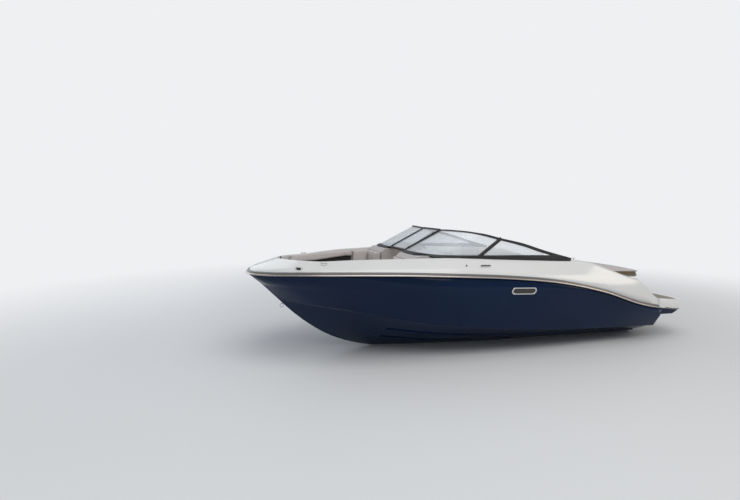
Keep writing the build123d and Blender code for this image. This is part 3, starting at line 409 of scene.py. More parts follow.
# Rub rail. A dark grey plastic section screwed along the seam of hull and deck, with a bright
# steel half-round strip on its lower half that takes the knocks.
RAIL_TALL, RAIL_OUT = 0.042, 0.020
ABOVE_SHEER = [
    # shoulder, coaming, inner edge of the deck, at the hull's sections
    ((1.305, 0.719), (1.002, 0.834), 0.988), ((1.310, 0.721), (1.006, 0.835), 0.990),
    ((1.230, 0.740), (0.951, 0.836), 0.938), ((1.071, 0.766), (0.832, 0.839), 0.820),
    ((0.954, 0.785), (0.749, 0.866), 0.736), ((0.922, 0.800), (0.733, 0.888), 0.720),
    ((0.961, 0.813), (0.760, 0.903), 0.740), ((1.057, 0.813), (0.900, 0.934), 0.860),
    ((1.112, 0.803), (0.945, 0.932), 0.860), ((1.133, 0.771), (0.959, 0.928), 0.860),
    ((1.139, 0.695), (0.988, 0.920), 0.860), ((1.124, 0.565), (1.020, 0.880), 0.860),
    ((1.029, 0.394), (0.960, 0.860), 0.860),
]
DECK_SECTIONS = [(row[0], row[1], row[-1], *above) for row, above in zip(HULL_SECTIONS, ABOVE_SHEER)]


def deck_gelcoat(name, colour, gloss, top=None):
    """Gelcoat, faintly uneven in tone and polish, as a moulding that has been out in the weather.
    Faces that look straight up can be given a paler colour: a painted highlight of the light from above."""
    paint = Finish(name)
    cloud = paint.noise(2.2, 3.0)
    tone = paint.tones(cloud, [c * 0.965 for c in colour], colour, 0.3, 0.7)
    if top:
        # Painted highlight: faces that look straight up turn to the top colour.
        way = paint.node("SeparateXYZ", {"Vector": paint.node("NewGeometry").outputs["Normal"]}).outputs["Z"]
        level = paint.node("MapRange", {"Value": way, "From Min": 0.90, "From Max": 0.96}).outputs[0]
        tone = paint.mixed(level, tone, (*top, 1))
    return paint.done({
        "Base Color": tone, "Normal": paint.relief(cloud, 0.04, 0.01),
        "Roughness": paint.between(paint.noise(45.0, 2.0), gloss, gloss + 0.09),
        "Coat Weight": 0.3, "Coat Roughness": 0.06,
    })


def steel(name, rough, tint):
    """Polished stainless steel with fine hairlines."""
    paint = Finish(name)
    stretch = paint.node("Mapping", {"Vector": paint.at, "Scale": (8, 40, 260)}).outputs[0]
    shine = paint.between(paint.noise(3.0, 3.0, stretch), rough, rough + 0.14)
    return paint.done({"Base Color": (*tint, 1), "Metallic": 1, "Roughness": shine})


deck_white = deck_gelcoat("white_gelcoat", (0.80, 0.80, 0.785), 0.16)
rail_grey = deck_gelcoat("rail_plastic", (0.145, 0.138, 0.135), 0.42)
bright_steel = steel("polished_stainless", 0.10, (0.72, 0.72, 0.71))
# The strip's steel is tinted warm brown: a painted reflection of the low evening sun on the steel.
rail_steel_warm_reflection = steel("rail_strip_steel_warm_reflection", 0.26, (0.60, 0.53, 0.49))

rail_rows, bead_rows = [], []
for turn, foot, sheer, shoulder, coaming, edge in DECK_SECTIONS:
    low, high = Vector(sheer), Vector(sheer).lerp(Vector(shoulder), RAIL_TALL / (shoulder[1] - sheer[1]))
    out, up = Vector((1, 0)), (high - low).normalized()
    seat = low + up * 0.013
    line = eased([
        (low - out * 0.004, 0), (low + out * (RAIL_OUT - 0.004), 0.005),
        (low + out * (RAIL_OUT - 0.004) + up * 0.025, 0), (low + out * RAIL_OUT + up * 0.026, 0.003),
        (high + out * (RAIL_OUT - 0.002), 0.009), (high - out * 0.006, 0),
    ], 3)
    rail_rows.append([on_section(turn, foot, *p) for p in line])
    bead = [seat + out * (RAIL_OUT - 0.006 + 0.0072 * math.cos(a)) + up * 0.0100 * math.sin(a)
            for a in (-1.57, -1.1, -0.7, -0.35, 0, 0.35, 0.7, 1.1, 1.57)]
    bead_rows.append([on_section(turn, foot, *p) for p in bead])
for name, rows, material, slot_name, node, end in (
    ("rub_rail_section", rail_rows, rail_grey, "rail", "rub_rail", -2.348),
    ("rub_rail_insert", bead_rows, rail_steel_warm_reflection, "steel", None, -2.335),
):
    form = bmesh.new()
    skin(form, faired(rows, 8))
    both_sides(form)
    cut_at(form, (end, 0, 0), (1, 0, 0), clear_inner=True)
    turn_out(form, PORT)
    made = piece(form, name, material, node, angle=45, outward=False)
    finish_with(made, "SOLIDIFY", thickness=0.003, offset=-1)

# Deck. One white moulding from the rub rail up over the shoulder to the coaming, open over the
# bow well and the cockpit, and swept down aft into the two quarters beside the sun pad. Its
# edges have the soft radius that a mould needs.
DECK_TOP = [
    (-0.800, 0.960), (-1.000, 0.928), (-1.280, 0.896), (-1.550, 0.812), (-1.860, 0.718), (-2.010, 0.690),
]
QUARTER_FOOT, COCKPIT_AFT = (-2.370, 0.422), -1.450
TRUNK_HALF, TRUNK_AFT, TRUNK_TOP, TRUNK_FOOT = 0.715, -2.372, 0.620, 0.200
SIDE_DECK_FROM, SIDE_DECK_EDGE = 0.850, 0.860     # the inner edge runs straight aft of here
crown = [row[0] for row in faired([[Vector((x, 0, z))] for x, z in DECK_TOP], 6)]
crown.append(Vector((QUARTER_FOOT[0], 0, QUARTER_FOOT[1])))


def crown_height(x):
    """Height at which the quarter's top line cuts the deck off, aft of the windshield."""
    if x > crown[0].x:
        return 2.0
    for a, b in zip(crown, crown[1:]):
        if x >= b.x:
            return a.z + (b.z - a.z) * (a.x - x) / (a.x - b.x)
    return crown[-1].z


def height_on(a, b, z):
    return a.lerp(b, min(1, max(0, (z - a.z) / (b.z - a.z))))


deck_base = faired([
    [on_section(turn, foot, *sheer), on_section(turn, foot, *shoulder), on_section(turn, foot, *coaming),
     on_section(turn, foot, edge, coaming[1] + 0.003)]
    for turn, foot, sheer, shoulder, coaming, edge in DECK_SECTIONS
], 8)
for name, inner, ends in (
    ("deck_moulding", SIDE_DECK_EDGE, [(COCKPIT_AFT, -1)]),
    ("deck_quarters", TRUNK_HALF, [(COCKPIT_AFT, 1), (TRUNK_AFT, -1)]),
):
    rows = []
    for sheer, shoulder, coaming, edge in deck_base:
        top, straight = crown_height(sheer.x), sheer.x < SIDE_DECK_FROM
        corner, step = coaming.copy(), shoulder
        if top < coaming.z:
            above = top > shoulder.z + 0.004
            corner = height_on(shoulder, coaming, top) if above else height_on(sheer, shoulder, top)
            if not above:
                step = sheer.lerp(corner, 0.6)
        lip = Vector((edge.x, inner if straight else edge.y, min(edge.z, corner.z + 0.003)))
        hem = Vector((lip.x, lip.y + 0.003, sheer.z - (0.12 if straight else 0.03)))
        rows.append(eased([(sheer, 0), (step, 0.045), (corner, 0.040), (lip, 0.016), (hem, 0)], 5))
    form = bmesh.new()
    skin(form, rows)
    both_sides(form)
    for x, sense in ends:
        cut = cut_at(form, (x, 0, 0), (sense, 0, 0), clear_outer=True)
        for side in (-1, 1):
            close_cut(form, [edge for edge in cut if edge.verts[0].co.y * side > 0])
    turn_out(form, UP)
    made = piece(form, name, deck_white, "deck", angle=35, outward=False)
    finish_with(made, "SOLIDIFY", thickness=0.005, offset=-1)

# Engine trunk. The raised box of the deck moulding between the quarters, with the hole for the
# engine hatch in its top; its edges are rounded and its after face looks over the platform.
HATCH_HALF, HATCH_FRONT, HATCH_AFT = 0.640, -1.600, -2.030


def rounded(form, edges, cut, segments=3):
    bmesh.ops.bevel(form, geom=edges, offset=cut, segments=segments, profile=0.5, affect="EDGES", material=-1)


form = bmesh.new()
bmesh.ops.create_cube(form, size=1)
box = (COCKPIT_AFT - TRUNK_AFT, 2 * TRUNK_HALF + 0.001, TRUNK_TOP - TRUNK_FOOT)
bmesh.ops.scale(form, vec=box, verts=form.verts)
bmesh.ops.translate(form, vec=((COCKPIT_AFT + TRUNK_AFT) / 2, 0, (TRUNK_TOP + TRUNK_FOOT) / 2), verts=form.verts)
for x in (HATCH_FRONT, HATCH_AFT):
    cut_at(form, (x, 0, 0), (1, 0, 0))
for y in (HATCH_HALF, -HATCH_HALF):
    cut_at(form, (0, y, 0), PORT)
middle = [f for f in form.faces if abs(f.calc_center_median().y) < HATCH_HALF
          and HATCH_AFT < f.calc_center_median().x < HATCH_FRONT]
hole = [f for f in middle if f.normal.z > 0.5]
bmesh.ops.delete(form, geom=[f for f in middle if f.normal.z < -0.5], context="FACES")
shaft = bmesh.ops.extrude_face_region(form, geom=hole)["geom"]
bmesh.ops.delete(form, geom=hole, context="FACES")
shaft_verts = [part for part in shaft if isinstance(part, bmesh.types.BMVert)]
bmesh.ops.translate(form, vec=(0, 0, TRUNK_FOOT - TRUNK_TOP), verts=shaft_verts)
bmesh.ops.delete(form, geom=[part for part in shaft if isinstance(part, bmesh.types.BMFace)], context="FACES_ONLY")
bmesh.ops.remove_doubles(form, verts=form.verts[:], dist=0.0001)
rounded(form, [
    edge for edge in form.edges
    if len(edge.link_faces) == 2 and edge.calc_face_angle(0) > 0.5 and min(v.co.z for v in edge.verts) > 0.3
], 0.014)
piece(form, "engine_trunk", deck_white, "deck")

# Swim platform. A hollow white moulding bolted on aft over the drive, its sides drawn in to
# rounded corners, with a ribbed grey foam mat glued into the shallow recess of its top.
PLATFORM_FRONT, PLATFORM_AFT = -2.373, -3.000
PLATFORM_TOP, PLATFORM_FOOT = (0.422, 0.374), (0.298, 0.226)
PLATFORM_EDGE = [
    (-2.373, 1.130), (-2.500, 1.122), (-2.640, 1.112), (-2.740, 1.096), (-2.810, 1.072), (-2.865, 1.038),
    (-2.908, 0.990), (-2.942, 0.930), (-2.966, 0.860), (-2.980, 0.720), (-2.988, 0.560), (-2.994, 0.380),
    (-2.998, 0.200), (-3.000, 0.0),
]


def platform_outline(inset, ends, lift, gap=0.0):
    """Closed line round the platform's plan, drawn in by an inset, lifted off its sloping face."""
    side = []
    for i, (x, y) in enumerate(PLATFORM_EDGE):
        before, after = PLATFORM_EDGE[max(i - 1, 0)], PLATFORM_EDGE[min(i + 1, len(PLATFORM_EDGE) - 1)]
        inward = Vector((before[1] - after[1], after[0] - before[0])).normalized() * inset
        side.append(Vector((x + inward.x if i else PLATFORM_FRONT - gap, max(y + inward.y, 0), 0)))
    side[-1].y = 0
    for p in side:
        p.z = ends[0] + (ends[1] - ends[0]) * (PLATFORM_FRONT - p.x) / (PLATFORM_FRONT - PLATFORM_AFT) + lift
    return side + [Vector((p.x, -p.y, p.z)) for p in side[-2::-1]]


def tube(form, rings, hoop=False):
    """Skins closed rings of points, and closes both ends unless they are joined to a hoop."""
    loops = skin(form, rings, True, hoop)
    for loop in () if hoop else (loops[0], loops[-1]):
        bmesh.ops.contextual_create(form, geom=loop)


SEAM, RECESS = 0.0005, 0.030     # gaps to the transom, of the moulding and of the recess in its top
form = bmesh.new()
loops = []
for inset, ends, lift in (
    (0.010, PLATFORM_FOOT, 0.0), (0.002, PLATFORM_FOOT, 0.005), (0.0, PLATFORM_FOOT, 0.013),
    (0.0, PLATFORM_TOP, -0.022), (0.004, PLATFORM_TOP, -0.009), (0.012, PLATFORM_TOP, -0.002),
    (0.022, PLATFORM_TOP, 0.0), (0.050, PLATFORM_TOP, 0.0), (0.054, PLATFORM_TOP, -0.005),
):
    verts = [form.verts.new(p) for p in platform_outline(inset, ends, lift, RECESS if inset > 0.04 else SEAM)]
    loops.append([form.edges.new(pair) for pair in zip(verts, verts[1:] + verts[:1])])
# The underside is closed before the rings are bridged, so that no bridge twists.
bmesh.ops.contextual_create(form, geom=loops[0])
for one, other in zip(loops, loops[1:]):
    bmesh.ops.bridge_loops(form, edges=one + other)
bmesh.ops.contextual_create(form, geom=loops[-1])
piece(form, "swim_platform_moulding", deck_white, "swim_platform")

paint = Finish("ribbed_foam")
ribs = paint.node("TexWave", {"Vector": paint.at, "Scale": 4.2, "Distortion": 0.0},
                  bands_direction="Y", wave_profile="SAW").outputs["Fac"]
speckle = paint.noise(420.0, 2.0)
stripes = paint.tones(ribs, (0.045, 0.040, 0.036), (0.30, 0.27, 0.235), 0, 0.08)
foam_mat = paint.done({
    "Base Color": paint.mixed(0.22, stripes, speckle, blend_type="OVERLAY"), "Roughness": 0.85,
    "Normal": paint.relief(speckle, 0.25, 0.0006, paint.relief(ribs, 0.35, 0.003)),
})
form = bmesh.new()
tube(form, [platform_outline(inset, PLATFORM_TOP, lift, 0.034) for inset, lift in (
    (0.057, -0.006), (0.057, -0.002), (0.060, 0.0))])
piece(form, "platform_mat", foam_mat)

# Stern wings. The bottom runs on under the swim platform as two navy blocks, one either side of
# the drive, which float the stern; they are moulded with the hull, so their edges are soft.
WING_SIDE = [(-2.420, 0.293), (-2.924, 0.237), (-2.912, 0.212), (-2.820, 0.168), (-2.430, 0.165)]
form = bmesh.new()
for side in (-1, 1):
    tube(form, [[Vector((x, side * half, z)) for x, z in WING_SIDE] for half in (0.455, 0.985)])
bmesh.ops.recalc_face_normals(form, faces=form.faces[:])
rounded(form, [
    edge for edge in form.edges
    if max(v.co.x for v in edge.verts) < -2.5 or abs(edge.verts[0].co.x - edge.verts[1].co.x) > 0.2
], 0.012)
piece(form, "stern_wings", navy_gelcoat, "hull_shell")

# Windshield. Curved panes held in an extruded aluminium frame with black powder coat: thin rails
# forward, deeper ones from the mullion aft, and two posts that the centre gate closes against.
WINDSHIELD = [
    # foot, head of each line across the glass
    ((1.070, 0.268, 0.957), (0.550, 0.278, 1.238)),
    ((1.080, 0.470, 0.960), (0.562, 0.462, 1.246)),
    ((1.062, 0.690, 0.962), (0.548, 0.645, 1.248)),
    ((0.900, 0.842, 0.953), (0.425, 0.790, 1.243)),
    ((0.650, 0.888, 0.947), (0.290, 0.838, 1.229)),
    ((0.388, 0.914, 0.947), (0.050, 0.874, 1.181)),
    ((-0.100, 0.940, 0.946), (-0.240, 0.908, 1.128)),
    ((-0.530, 0.952, 0.944), (-0.560, 0.934, 1.043)),
    ((-0.950, 0.966, 0.940), (-0.953, 0.965, 0.954)),
]
BASE_RAIL, HEAD_RAIL, FRAME_THICK = (0.016, 0.044), (0.016, 0.036), 0.024

paint = Finish("black_powder_coat")
dust = paint.noise(7.0, 3.0)
black_frame = paint.done({
    "Base Color": paint.tones(dust, (0.009, 0.009, 0.010), (0.020, 0.020, 0.021)),
    "Roughness": paint.between(dust, 0.30, 0.46),
    "Normal": paint.relief(paint.noise(900.0, 2.0), 0.12, 0.0004),
})
# Pale bluish, partly opaque coat on the panes: a painted reflection of the bright sky, varied by smears.
paint = Finish("glass_painted_sky_reflection")
smear = paint.noise(3.0, 4.0)
glass_painted_sky = paint.done({
    "Base Color": (0.86, 0.91, 0.95, 1), "Roughness": paint.between(smear, 0.03, 0.10),
    "Alpha": paint.between(smear, 0.34, 0.46),
})

SCREEN_STEPS = 6
screen_lines = faired([[Vector(foot), Vector(head)] for foot, head in WINDSHIELD], SCREEN_STEPS)
screen_frames = []
for i, (foot, head) in enumerate(screen_lines):
    before, after = screen_lines[max(i - 1, 0)], screen_lines[min(i + 1, len(screen_lines) - 1)]
    along = (after[0] - before[0] + after[1] - before[1]).normalized()
    up = (head - foot).normalized()
    screen_frames.append((foot, up, along.cross(up).normalized(), (head - foot).length, i / SCREEN_STEPS))


def rail_height(rail, station):
    return rail[0] + (rail[1] - rail[0]) * min(1, max(0, (station - 2.5) / 2.5))


def rail_ring(frame, low, high, thick, cut):
    """Rounded cross section of a rail, from low to high up a line of the windshield."""
    foot, up, out = frame[:3]
    half, low, high = thick / 2, low + cut, high - cut
    if high < low:
        low = high = (low + high) / 2
    ring = []
    for centre, over, start in (
        (high, half - cut, 0), (high, cut - half, 90), (low, cut - half, 180), (low, half - cut, 270),
    ):
        for turn in (0, 30, 60, 90):
            a = math.radians(start + turn)
            ring.append(foot + up * (centre + cut * math.sin(a)) + out * (over + cut * math.cos(a)))
    return ring


form = bmesh.new()
tube(form, [
    rail_ring(f, -0.030, min(rail_height(BASE_RAIL, f[4]), f[3]), FRAME_THICK, 0.004) for f in screen_frames
])
tube(form, [
    rail_ring(f, max(f[3] - rail_height(HEAD_RAIL, f[4]), -0.012), f[3], FRAME_THICK, 0.004) for f in screen_frames
])
for station, wide, shift in ((0, 0.034, 0.017), (5, 0.040, 0)):
    foot, up, out, rise = screen_frames[station * SCREEN_STEPS][:4]
    side_on = up.cross(out)
    section = [(-shift + a * wide / 2, b * FRAME_THICK / 2) for a, b in (
        (1, 0.7), (0.7, 1), (-0.7, 1), (-1, 0.7), (-1, -0.7), (-0.7, -1), (0.7, -1), (1, -0.7))]
    tube(form, [[foot + up * height + side_on * a + out * b for a, b in section] for height in (0.0, rise - 0.002)])
both_sides(form)
piece(form, "windshield_rails", black_frame, "windshield_frame", angle=35)

form = bmesh.new()
for first, last in ((0, 5 * SCREEN_STEPS), (5 * SCREEN_STEPS, 7 * SCREEN_STEPS)):
    tube(form, [
        rail_ring(f, rail_height(BASE_RAIL, f[4]) - 0.004, f[3] - rail_height(HEAD_RAIL, f[4]) + 0.004, 0.005, 0.001)
        for f in screen_frames[first:last + 1]
    ])
both_sides(form)
piece(form, "windshield_panes", glass_painted_sky, "side_glass")

# Centre gate. Its pane sits in the same black section as the windshield and swings on two short
# hinges at the port post, so that one can walk through to the bow.
def dress(name, material):
    """Gives a CAD node its finish."""
    for held in frame["nodes"][name].material_slots:
        held.material = material


def oval(centre, one, other, steps):
    """Points round a centre, from its two half axes."""
    turns = [k * math.tau / steps for k in range(steps)]
    return [centre + one * math.cos(a) + other * math.sin(a) for a in turns]


dress("gate_frame", black_frame)
dress("gate_glass", glass_painted_sky)
form = bmesh.new()
gate_foot, gate_head = Vector((1.070, 0, 0.957)), Vector((0.550, 0, 1.243))
gate_up = (gate_head - gate_foot).normalized()
gate_out = Vector((gate_up.z, 0, -gate_up.x))
for up in (0.074, 0.466):
    for shift, long in ((-0.008, 0.016), (0.016, 0.030), (0.040, 0.016)):
        rings = []
        for end, wide in ((-0.5, 0.9), (-0.44, 1.0), (0.44, 1.0), (0.5, 0.9)):
            centre = gate_foot + gate_up * (up + shift + end * long) + gate_out * 0.014 + PORT * 0.261
            rings.append(oval(centre, PORT * 0.006 * wide, gate_out * 0.006 * wide, 12))
        tube(form, rings)
piece(form, "gate_hinges", black_frame, "windshield_frame")

# Cockpit and bow moulding. One off-white liner gives the sole, the seat boxes and the bow
# footwell; the floors have a moulded non-skid pattern and the rest is smooth gelcoat.
FLOOR_Z, BOW_FLOOR_Z = 0.1115, 0.210
paint = Finish("liner_gelcoat")
low = paint.worked("LESS_THAN", paint.height(), FLOOR_Z)
bow_low = paint.worked("COMPARE", paint.height(), BOW_FLOOR_Z, 0.0015)
floor_only = paint.worked("MAXIMUM", low, bow_low)
slanted = paint.node("Mapping", {"Vector": paint.at, "Rotation": (0, 0, math.pi / 4)}).outputs[0]
dots = paint.node("TexVoronoi", {"Vector": slanted, "Scale": 110.0, "Randomness": 0.0}).outputs["Distance"]
smooth = paint.tones(paint.noise(3.0, 3.0), (0.66, 0.65, 0.62), (0.73, 0.72, 0.69))
dress("liner", paint.done({
    "Base Color": paint.mixed(floor_only, smooth, (0.50, 0.49, 0.465, 1)),
    "Normal": paint.relief(paint.worked("MULTIPLY", dots, floor_only), 0.5, 0.002),
    "Roughness": paint.between(floor_only, 0.24, 0.62), "Coat Weight": 0.15,
}))

# Consoles. The two moulded boxes carry the windshield and the dash; port has a glove box, and
# starboard the helm under a hooded dash. They are a warm grey gelcoat; faces that look straight up
# are painted near white, a painted highlight of the light from above.
console_gelcoat_lit_tops = deck_gelcoat("console_gelcoat", (0.52, 0.475, 0.46), 0.34, (0.72, 0.72, 0.71))
dress("console_port", console_gelcoat_lit_tops)
dress("console_starboard", console_gelcoat_lit_tops)

# Bow seat cushions. Foam in light grey marine vinyl, one either side of the footwell and meeting
# at the stem; the cover is sewn with a piped edge and lies on the moulded seat boxes.
def marine_vinyl(name, dark, light, top=None):
    """Heat-pressed vinyl: fine grain, a soft sheen and a faint change of tone where it is sat on.
    A top is (height, dark, light): the colours of a cover's upper panels, from that height up."""
    paint = Finish(name)
    cloud = paint.noise(4.0, 4.0)
    cover = paint.tones(cloud, dark, light, 0.35, 0.65)
    if top:
        upper = paint.mixed(cloud, (*top[1], 1), (*top[2], 1))
        cover = paint.mixed(paint.worked("GREATER_THAN", paint.height(), top[0]), cover, upper)
    pores = paint.node("TexVoronoi", {"Vector": paint.at, "Scale": 420.0}).outputs["Distance"]
    return paint.done({
        "Base Color": cover, "Roughness": paint.between(cloud, 0.42, 0.58),
        "Normal": paint.relief(pores, 0.22, 0.0006, paint.relief(paint.noise(17.0, 3.0), 0.10, 0.006)),
        "Sheen Weight": 0.12, "Sheen Roughness": 0.5,
    })


def settle(made):
    """Applies what a piece's modifiers have done so far."""
    ready = made.evaluated_get(bpy.context.evaluated_depsgraph_get())
    mesh = bpy.data.meshes.new_from_object(ready)
    made.modifiers.clear()
    made.data = mesh


def stuffed(form, name, material, held_below, node, body="hull", cap=0.012, voxel=0.012, seams=()):
    """Foam under a cover. A cloth simulation blows it up a little over the base that it is held by;
    seams are (point, direction across, half width, depth) of the channels sewn into it after."""
    bmesh.ops.recalc_face_normals(form, faces=form.faces[:])
    made = new_object(form, name)
    finish_with(made, "REMESH", mode="VOXEL", voxel_size=voxel)
    settle(made)
    start = [vert.co.copy() for vert in made.data.vertices]
    held = made.vertex_groups.new(name="held")
    held.add([v.index for v in made.data.vertices if v.co.z < held_below], 1, "REPLACE")
    cloth = finish_with(made, "CLOTH")
    cloth.settings.use_pressure = True
    cloth.settings.uniform_pressure_force = 4
    cloth.settings.vertex_group_mass = "held"
    cloth.settings.effector_weights.gravity = 0
    for number in range(1, 21):
        scene.frame_set(number)
    settle(made)
    for vert, before in zip(made.data.vertices, start):
        move = vert.co - before
        if move.length > cap:
            vert.co = before + move.normalized() * cap
    scene.frame_set(1)
    made.vertex_groups.clear()
    normals = [vert.normal.copy() for vert in made.data.vertices]
    for vert, normal in zip(made.data.vertices, normals):
        sunk = 0
        for point, across, half, deep in seams:
            apart = abs((vert.co - Vector(point)).dot(Vector(across).normalized()))
            if apart < half:
                sunk = max(sunk, deep * (1 - apart / half) ** 1.5)
        vert.co -= normal * sunk
    made.data.materials.clear()
    made.data.materials.append(material)
    for face in made.data.polygons:
        face.use_smooth = True
    assign(made, body, node)


def neighbours(ring):
    """Each point of a closed line, between the ones before and after it."""
    return zip(ring[-1:] + ring[:-1], ring, ring[1:] + ring[:1])


def soft_ring(corners, cut, steps=3):
    """Closed line with each corner rounded."""
    ring = []
    for before, at, after in neighbours(corners):
        ring += eased([(before, 0), (at, cut), (after, 0)], steps)[1:-1]
    return ring


def inset_ring(ring, amount, z):
    """The same closed line drawn in level, at another height. The line runs anticlockwise."""
    drawn = []
    for before, at, after in neighbours(ring):
        one, two = (at - before).normalized(), (after - at).normalized()
        inward = Vector((-one.y - two.y, one.x + two.x))
        drawn.append(Vector((at.x, at.y)) + inward.normalized() * amount)
    return [Vector((p.x, p.y, z)) for p in drawn]


def slab(form, plan, low, high, edge):
    """Cushion blank from its plan: rounded at the bottom edge, and more so at the top edge."""
    tube(form, [
        inset_ring(plan, edge * 0.5, low), inset_ring(plan, 0, low + edge * 0.5), inset_ring(plan, 0, high - edge),
        inset_ring(plan, edge * 0.3, high - edge * 0.3), inset_ring(plan, edge, high),
    ])


def welt(form, line, radius=0.0035):
    """Closed piping along a line."""
    rings = []
    for before, at, after in neighbours(line):
        along = (after - before).normalized()
        side = along.cross(UP).normalized()
        rings.append(oval(at, side * radius, side.cross(along) * radius, 6))
    tube(form, rings, hoop=True)


LIGHT_TONES = (0.55, 0.505, 0.49), (0.63, 0.58, 0.56)
light_vinyl = marine_vinyl("light_grey_vinyl", *LIGHT_TONES)
piping_vinyl = marine_vinyl("piping_vinyl", (0.26, 0.24, 0.23), (0.33, 0.305, 0.29))
BOW_SEAT = [(2.290, 0.028), (2.290, 0.180), (2.192, 0.304), (1.695, 0.552), (1.248, 0.630), (1.248, 0.352),
            (2.188, 0.138), (2.188, 0.028)]
for name, side in (("bow_cushion_port", 1), ("bow_cushion_starboard", -1)):
    plan = soft_ring([Vector((x, side * y)) for x, y in BOW_SEAT][::side], 0.035)
    form = bmesh.new()
    slab(form, plan, 0.404, 0.480, 0.030)
    channel = [((1.60, side * 0.45, 0.49), (1, 0, 0), 0.022, 0.006)]
    stuffed(form, name, light_vinyl, 0.430, "bow_cushions", seams=channel)
    form = bmesh.new()
    welt(form, inset_ring(plan, -0.002, 0.462))
    piece(form, name + "_piping", piping_vinyl)

# Bow backrests. Beside the seats' aft ends they are full height; forward of those only a bolster
# runs round under the coaming. Below the bolster the side is covered by a near-black sheet: painted
# shadow, standing for the shade under the bolster.
WELL = [(2.500, 0.270), (2.250, 0.440), (2.000, 0.549), (1.700, 0.668), (1.400, 0.728), (1.186, 0.7865)]
WELL_LOW = [(2.450, 0.185), (2.200, 0.355), (1.950, 0.490), (1.700, 0.605), (1.400, 0.690), (1.186, 0.7675)]
# Painted shadow: a near-black sheet on the well's side where the bolster's shade falls.
paint = Finish("painted_shadow_sheet")
pile = paint.noise(350.0, 2.0)
bolster_shadow_sheet = paint.done({
    "Base Color": paint.tones(pile, (0.020, 0.018, 0.018), (0.055, 0.050, 0.048)), "Roughness": 0.9,
    "Normal": paint.relief(pile, 0.4, 0.0008),
})


def on_well(x, z):
    """Point of the moulding's port wall at a station and height, with the level way into the well."""
    u = (z - 0.400) / 0.460
    line = [row[0] for row in faired([[Vector(a).lerp(Vector(b), u)] for a, b in zip(WELL_LOW, WELL)], 4)]
    for a, b in zip(line, line[1:]):
        if b.x <= x <= a.x or b is line[-1] or (a is line[0] and x > a.x):
            along = (b - a).normalized()
            spot = a.lerp(b, (a.x - x) / (a.x - b.x))
            return Vector((spot.x, spot.y, z)), Vector((-along.y, along.x, 0))


def under_coaming(x):
    """Height just under the deck's inner edge beside the well."""
    return 0.888 - 0.052 * min(1, max(0, (x - 1.35) / 0.85)) ** 0.8


def bolster_foot(x):
    return 0.802 - 0.055 * min(1, max(0, (x - 1.48) / 0.60))


def along_well(form, side, stations, heights, depths, cut):
    """Pad on the well's side: rings at (x, thickness share) stations, between two heights along it."""
    rings = []
    for x, thin in stations:
        ring = []
        low, high = (level(x) if callable(level) else level for level in heights)
        for z, deep in zip((low, low, high, high), (depths[0], depths[1], depths[1], depths[0])):
            spot, way = on_well(x, z)
            ring.append(spot + way * (depths[0] + (deep - depths[0]) * thin))
        rings.append(soft_ring([Vector((p.x, side * p.y, p.z)) for p in ring], cut))
    tube(form, rings)


def stations_of(ends, first, step, count):
    """Full stations at even steps, and at each end of the pad one full and one thinner."""
    (aft_end, aft), (fore, fore_end) = ends
    return [(aft_end, 0.6), (aft, 1)] + [(first + step * k, 1) for k in range(count)] + [(fore, 1), (fore_end, 0.6)]


for name, side in (("port", 1), ("starboard", -1)):
    form = bmesh.new()
    stations = stations_of(((1.190, 1.205), (1.463, 1.476)), 1.24, 0.04, 6)
    along_well(form, side, stations, (0.512, under_coaming), (0.016, 0.064), 0.020)
    stuffed(form, "bow_backrest_" + name, light_vinyl, 0.0, "bow_pads", cap=0.006)
    form = bmesh.new()
    stations = stations_of(((1.484, 1.498), (2.425, 2.440)), 1.54, 0.06, 15)
    along_well(form, side, stations, (bolster_foot, under_coaming), (0.014, 0.060), 0.016)
    channels = [((x, 0, 0.6), (1, side * 0.45, 0), 0.012, 0.005) for x in (1.86, 2.20)]
    stuffed(form, "bow_bolster_" + name, light_vinyl, 0.0, "bow_pads", "hull", 0.004, 0.009, channels)
    # The near-black painted-shadow sheet under the bolster.
    form = bmesh.new()
    along_well(form, side, [(1.486 + 0.05 * k, 1) for k in range(19)], (0.486, bolster_foot), (0.002, 0.007), 0.002)
    piece(form, "painted_shadow_sheet_" + name, bolster_shadow_sheet)

# Backrests on the consoles. Each console has an upholstered pad on its forward face for whoever
# sits on the bow seats with their feet forward.
CONSOLE_FACE = 1.186
for name, side in (("console_backrest_port", 1), ("console_backrest_starboard", -1)):
    rings = []
    for y, thin in ((0.268, 0.7), (0.288, 1.0), (0.475, 1.0), (0.662, 1.0), (0.682, 0.7)):
        face = CONSOLE_FACE + 0.046 * thin
        rings.append(soft_ring([
            Vector((x, side * y, z))
            for x, z in ((CONSOLE_FACE, 0.508), (face, 0.508), (face, 0.892), (CONSOLE_FACE, 0.892))
        ], 0.022))
    form = bmesh.new()
    tube(form, rings)
    channel = [((0, side * 0.475, 0), (0, 1, 0), 0.014, 0.006)]
    stuffed(form, name, light_vinyl, 0.0, "bow_pads", cap=0.006, seams=channel)

# Aft bench. A full width cushion and backrest across the cockpit in front of the engine trunk,
# each sewn in three panels.
def rectangle(x0, x1, half):
    return [Vector((x0, -half)), Vector((x1, -half)), Vector((x1, half)), Vector((x0, half))]


form = bmesh.new()
bench_plan = soft_ring(rectangle(-1.346, -0.954, 0.846), 0.055)
slab(form, bench_plan, 0.433, 0.543, 0.034)
panels = [((0, y, 0), (0, 1, 0), 0.018, 0.008) for y in (-0.283, 0.283)]
stuffed(form, "bench_cushion_cover", light_vinyl, 0.46, "bench_cushion", cap=0.010, seams=panels)
form = bmesh.new()
slab(form, soft_ring(rectangle(-1.445, -1.358, 0.846), 0.024), 0.552, 0.785, 0.030)
stuffed(form, "bench_backrest_cover", light_vinyl, 0.58, "bench_back", cap=0.006, seams=panels)
form = bmesh.new()
for z in (0.522, 0.455):
    welt(form, inset_ring(bench_plan, -0.003, z))
piece(form, "bench_piping", piping_vinyl)

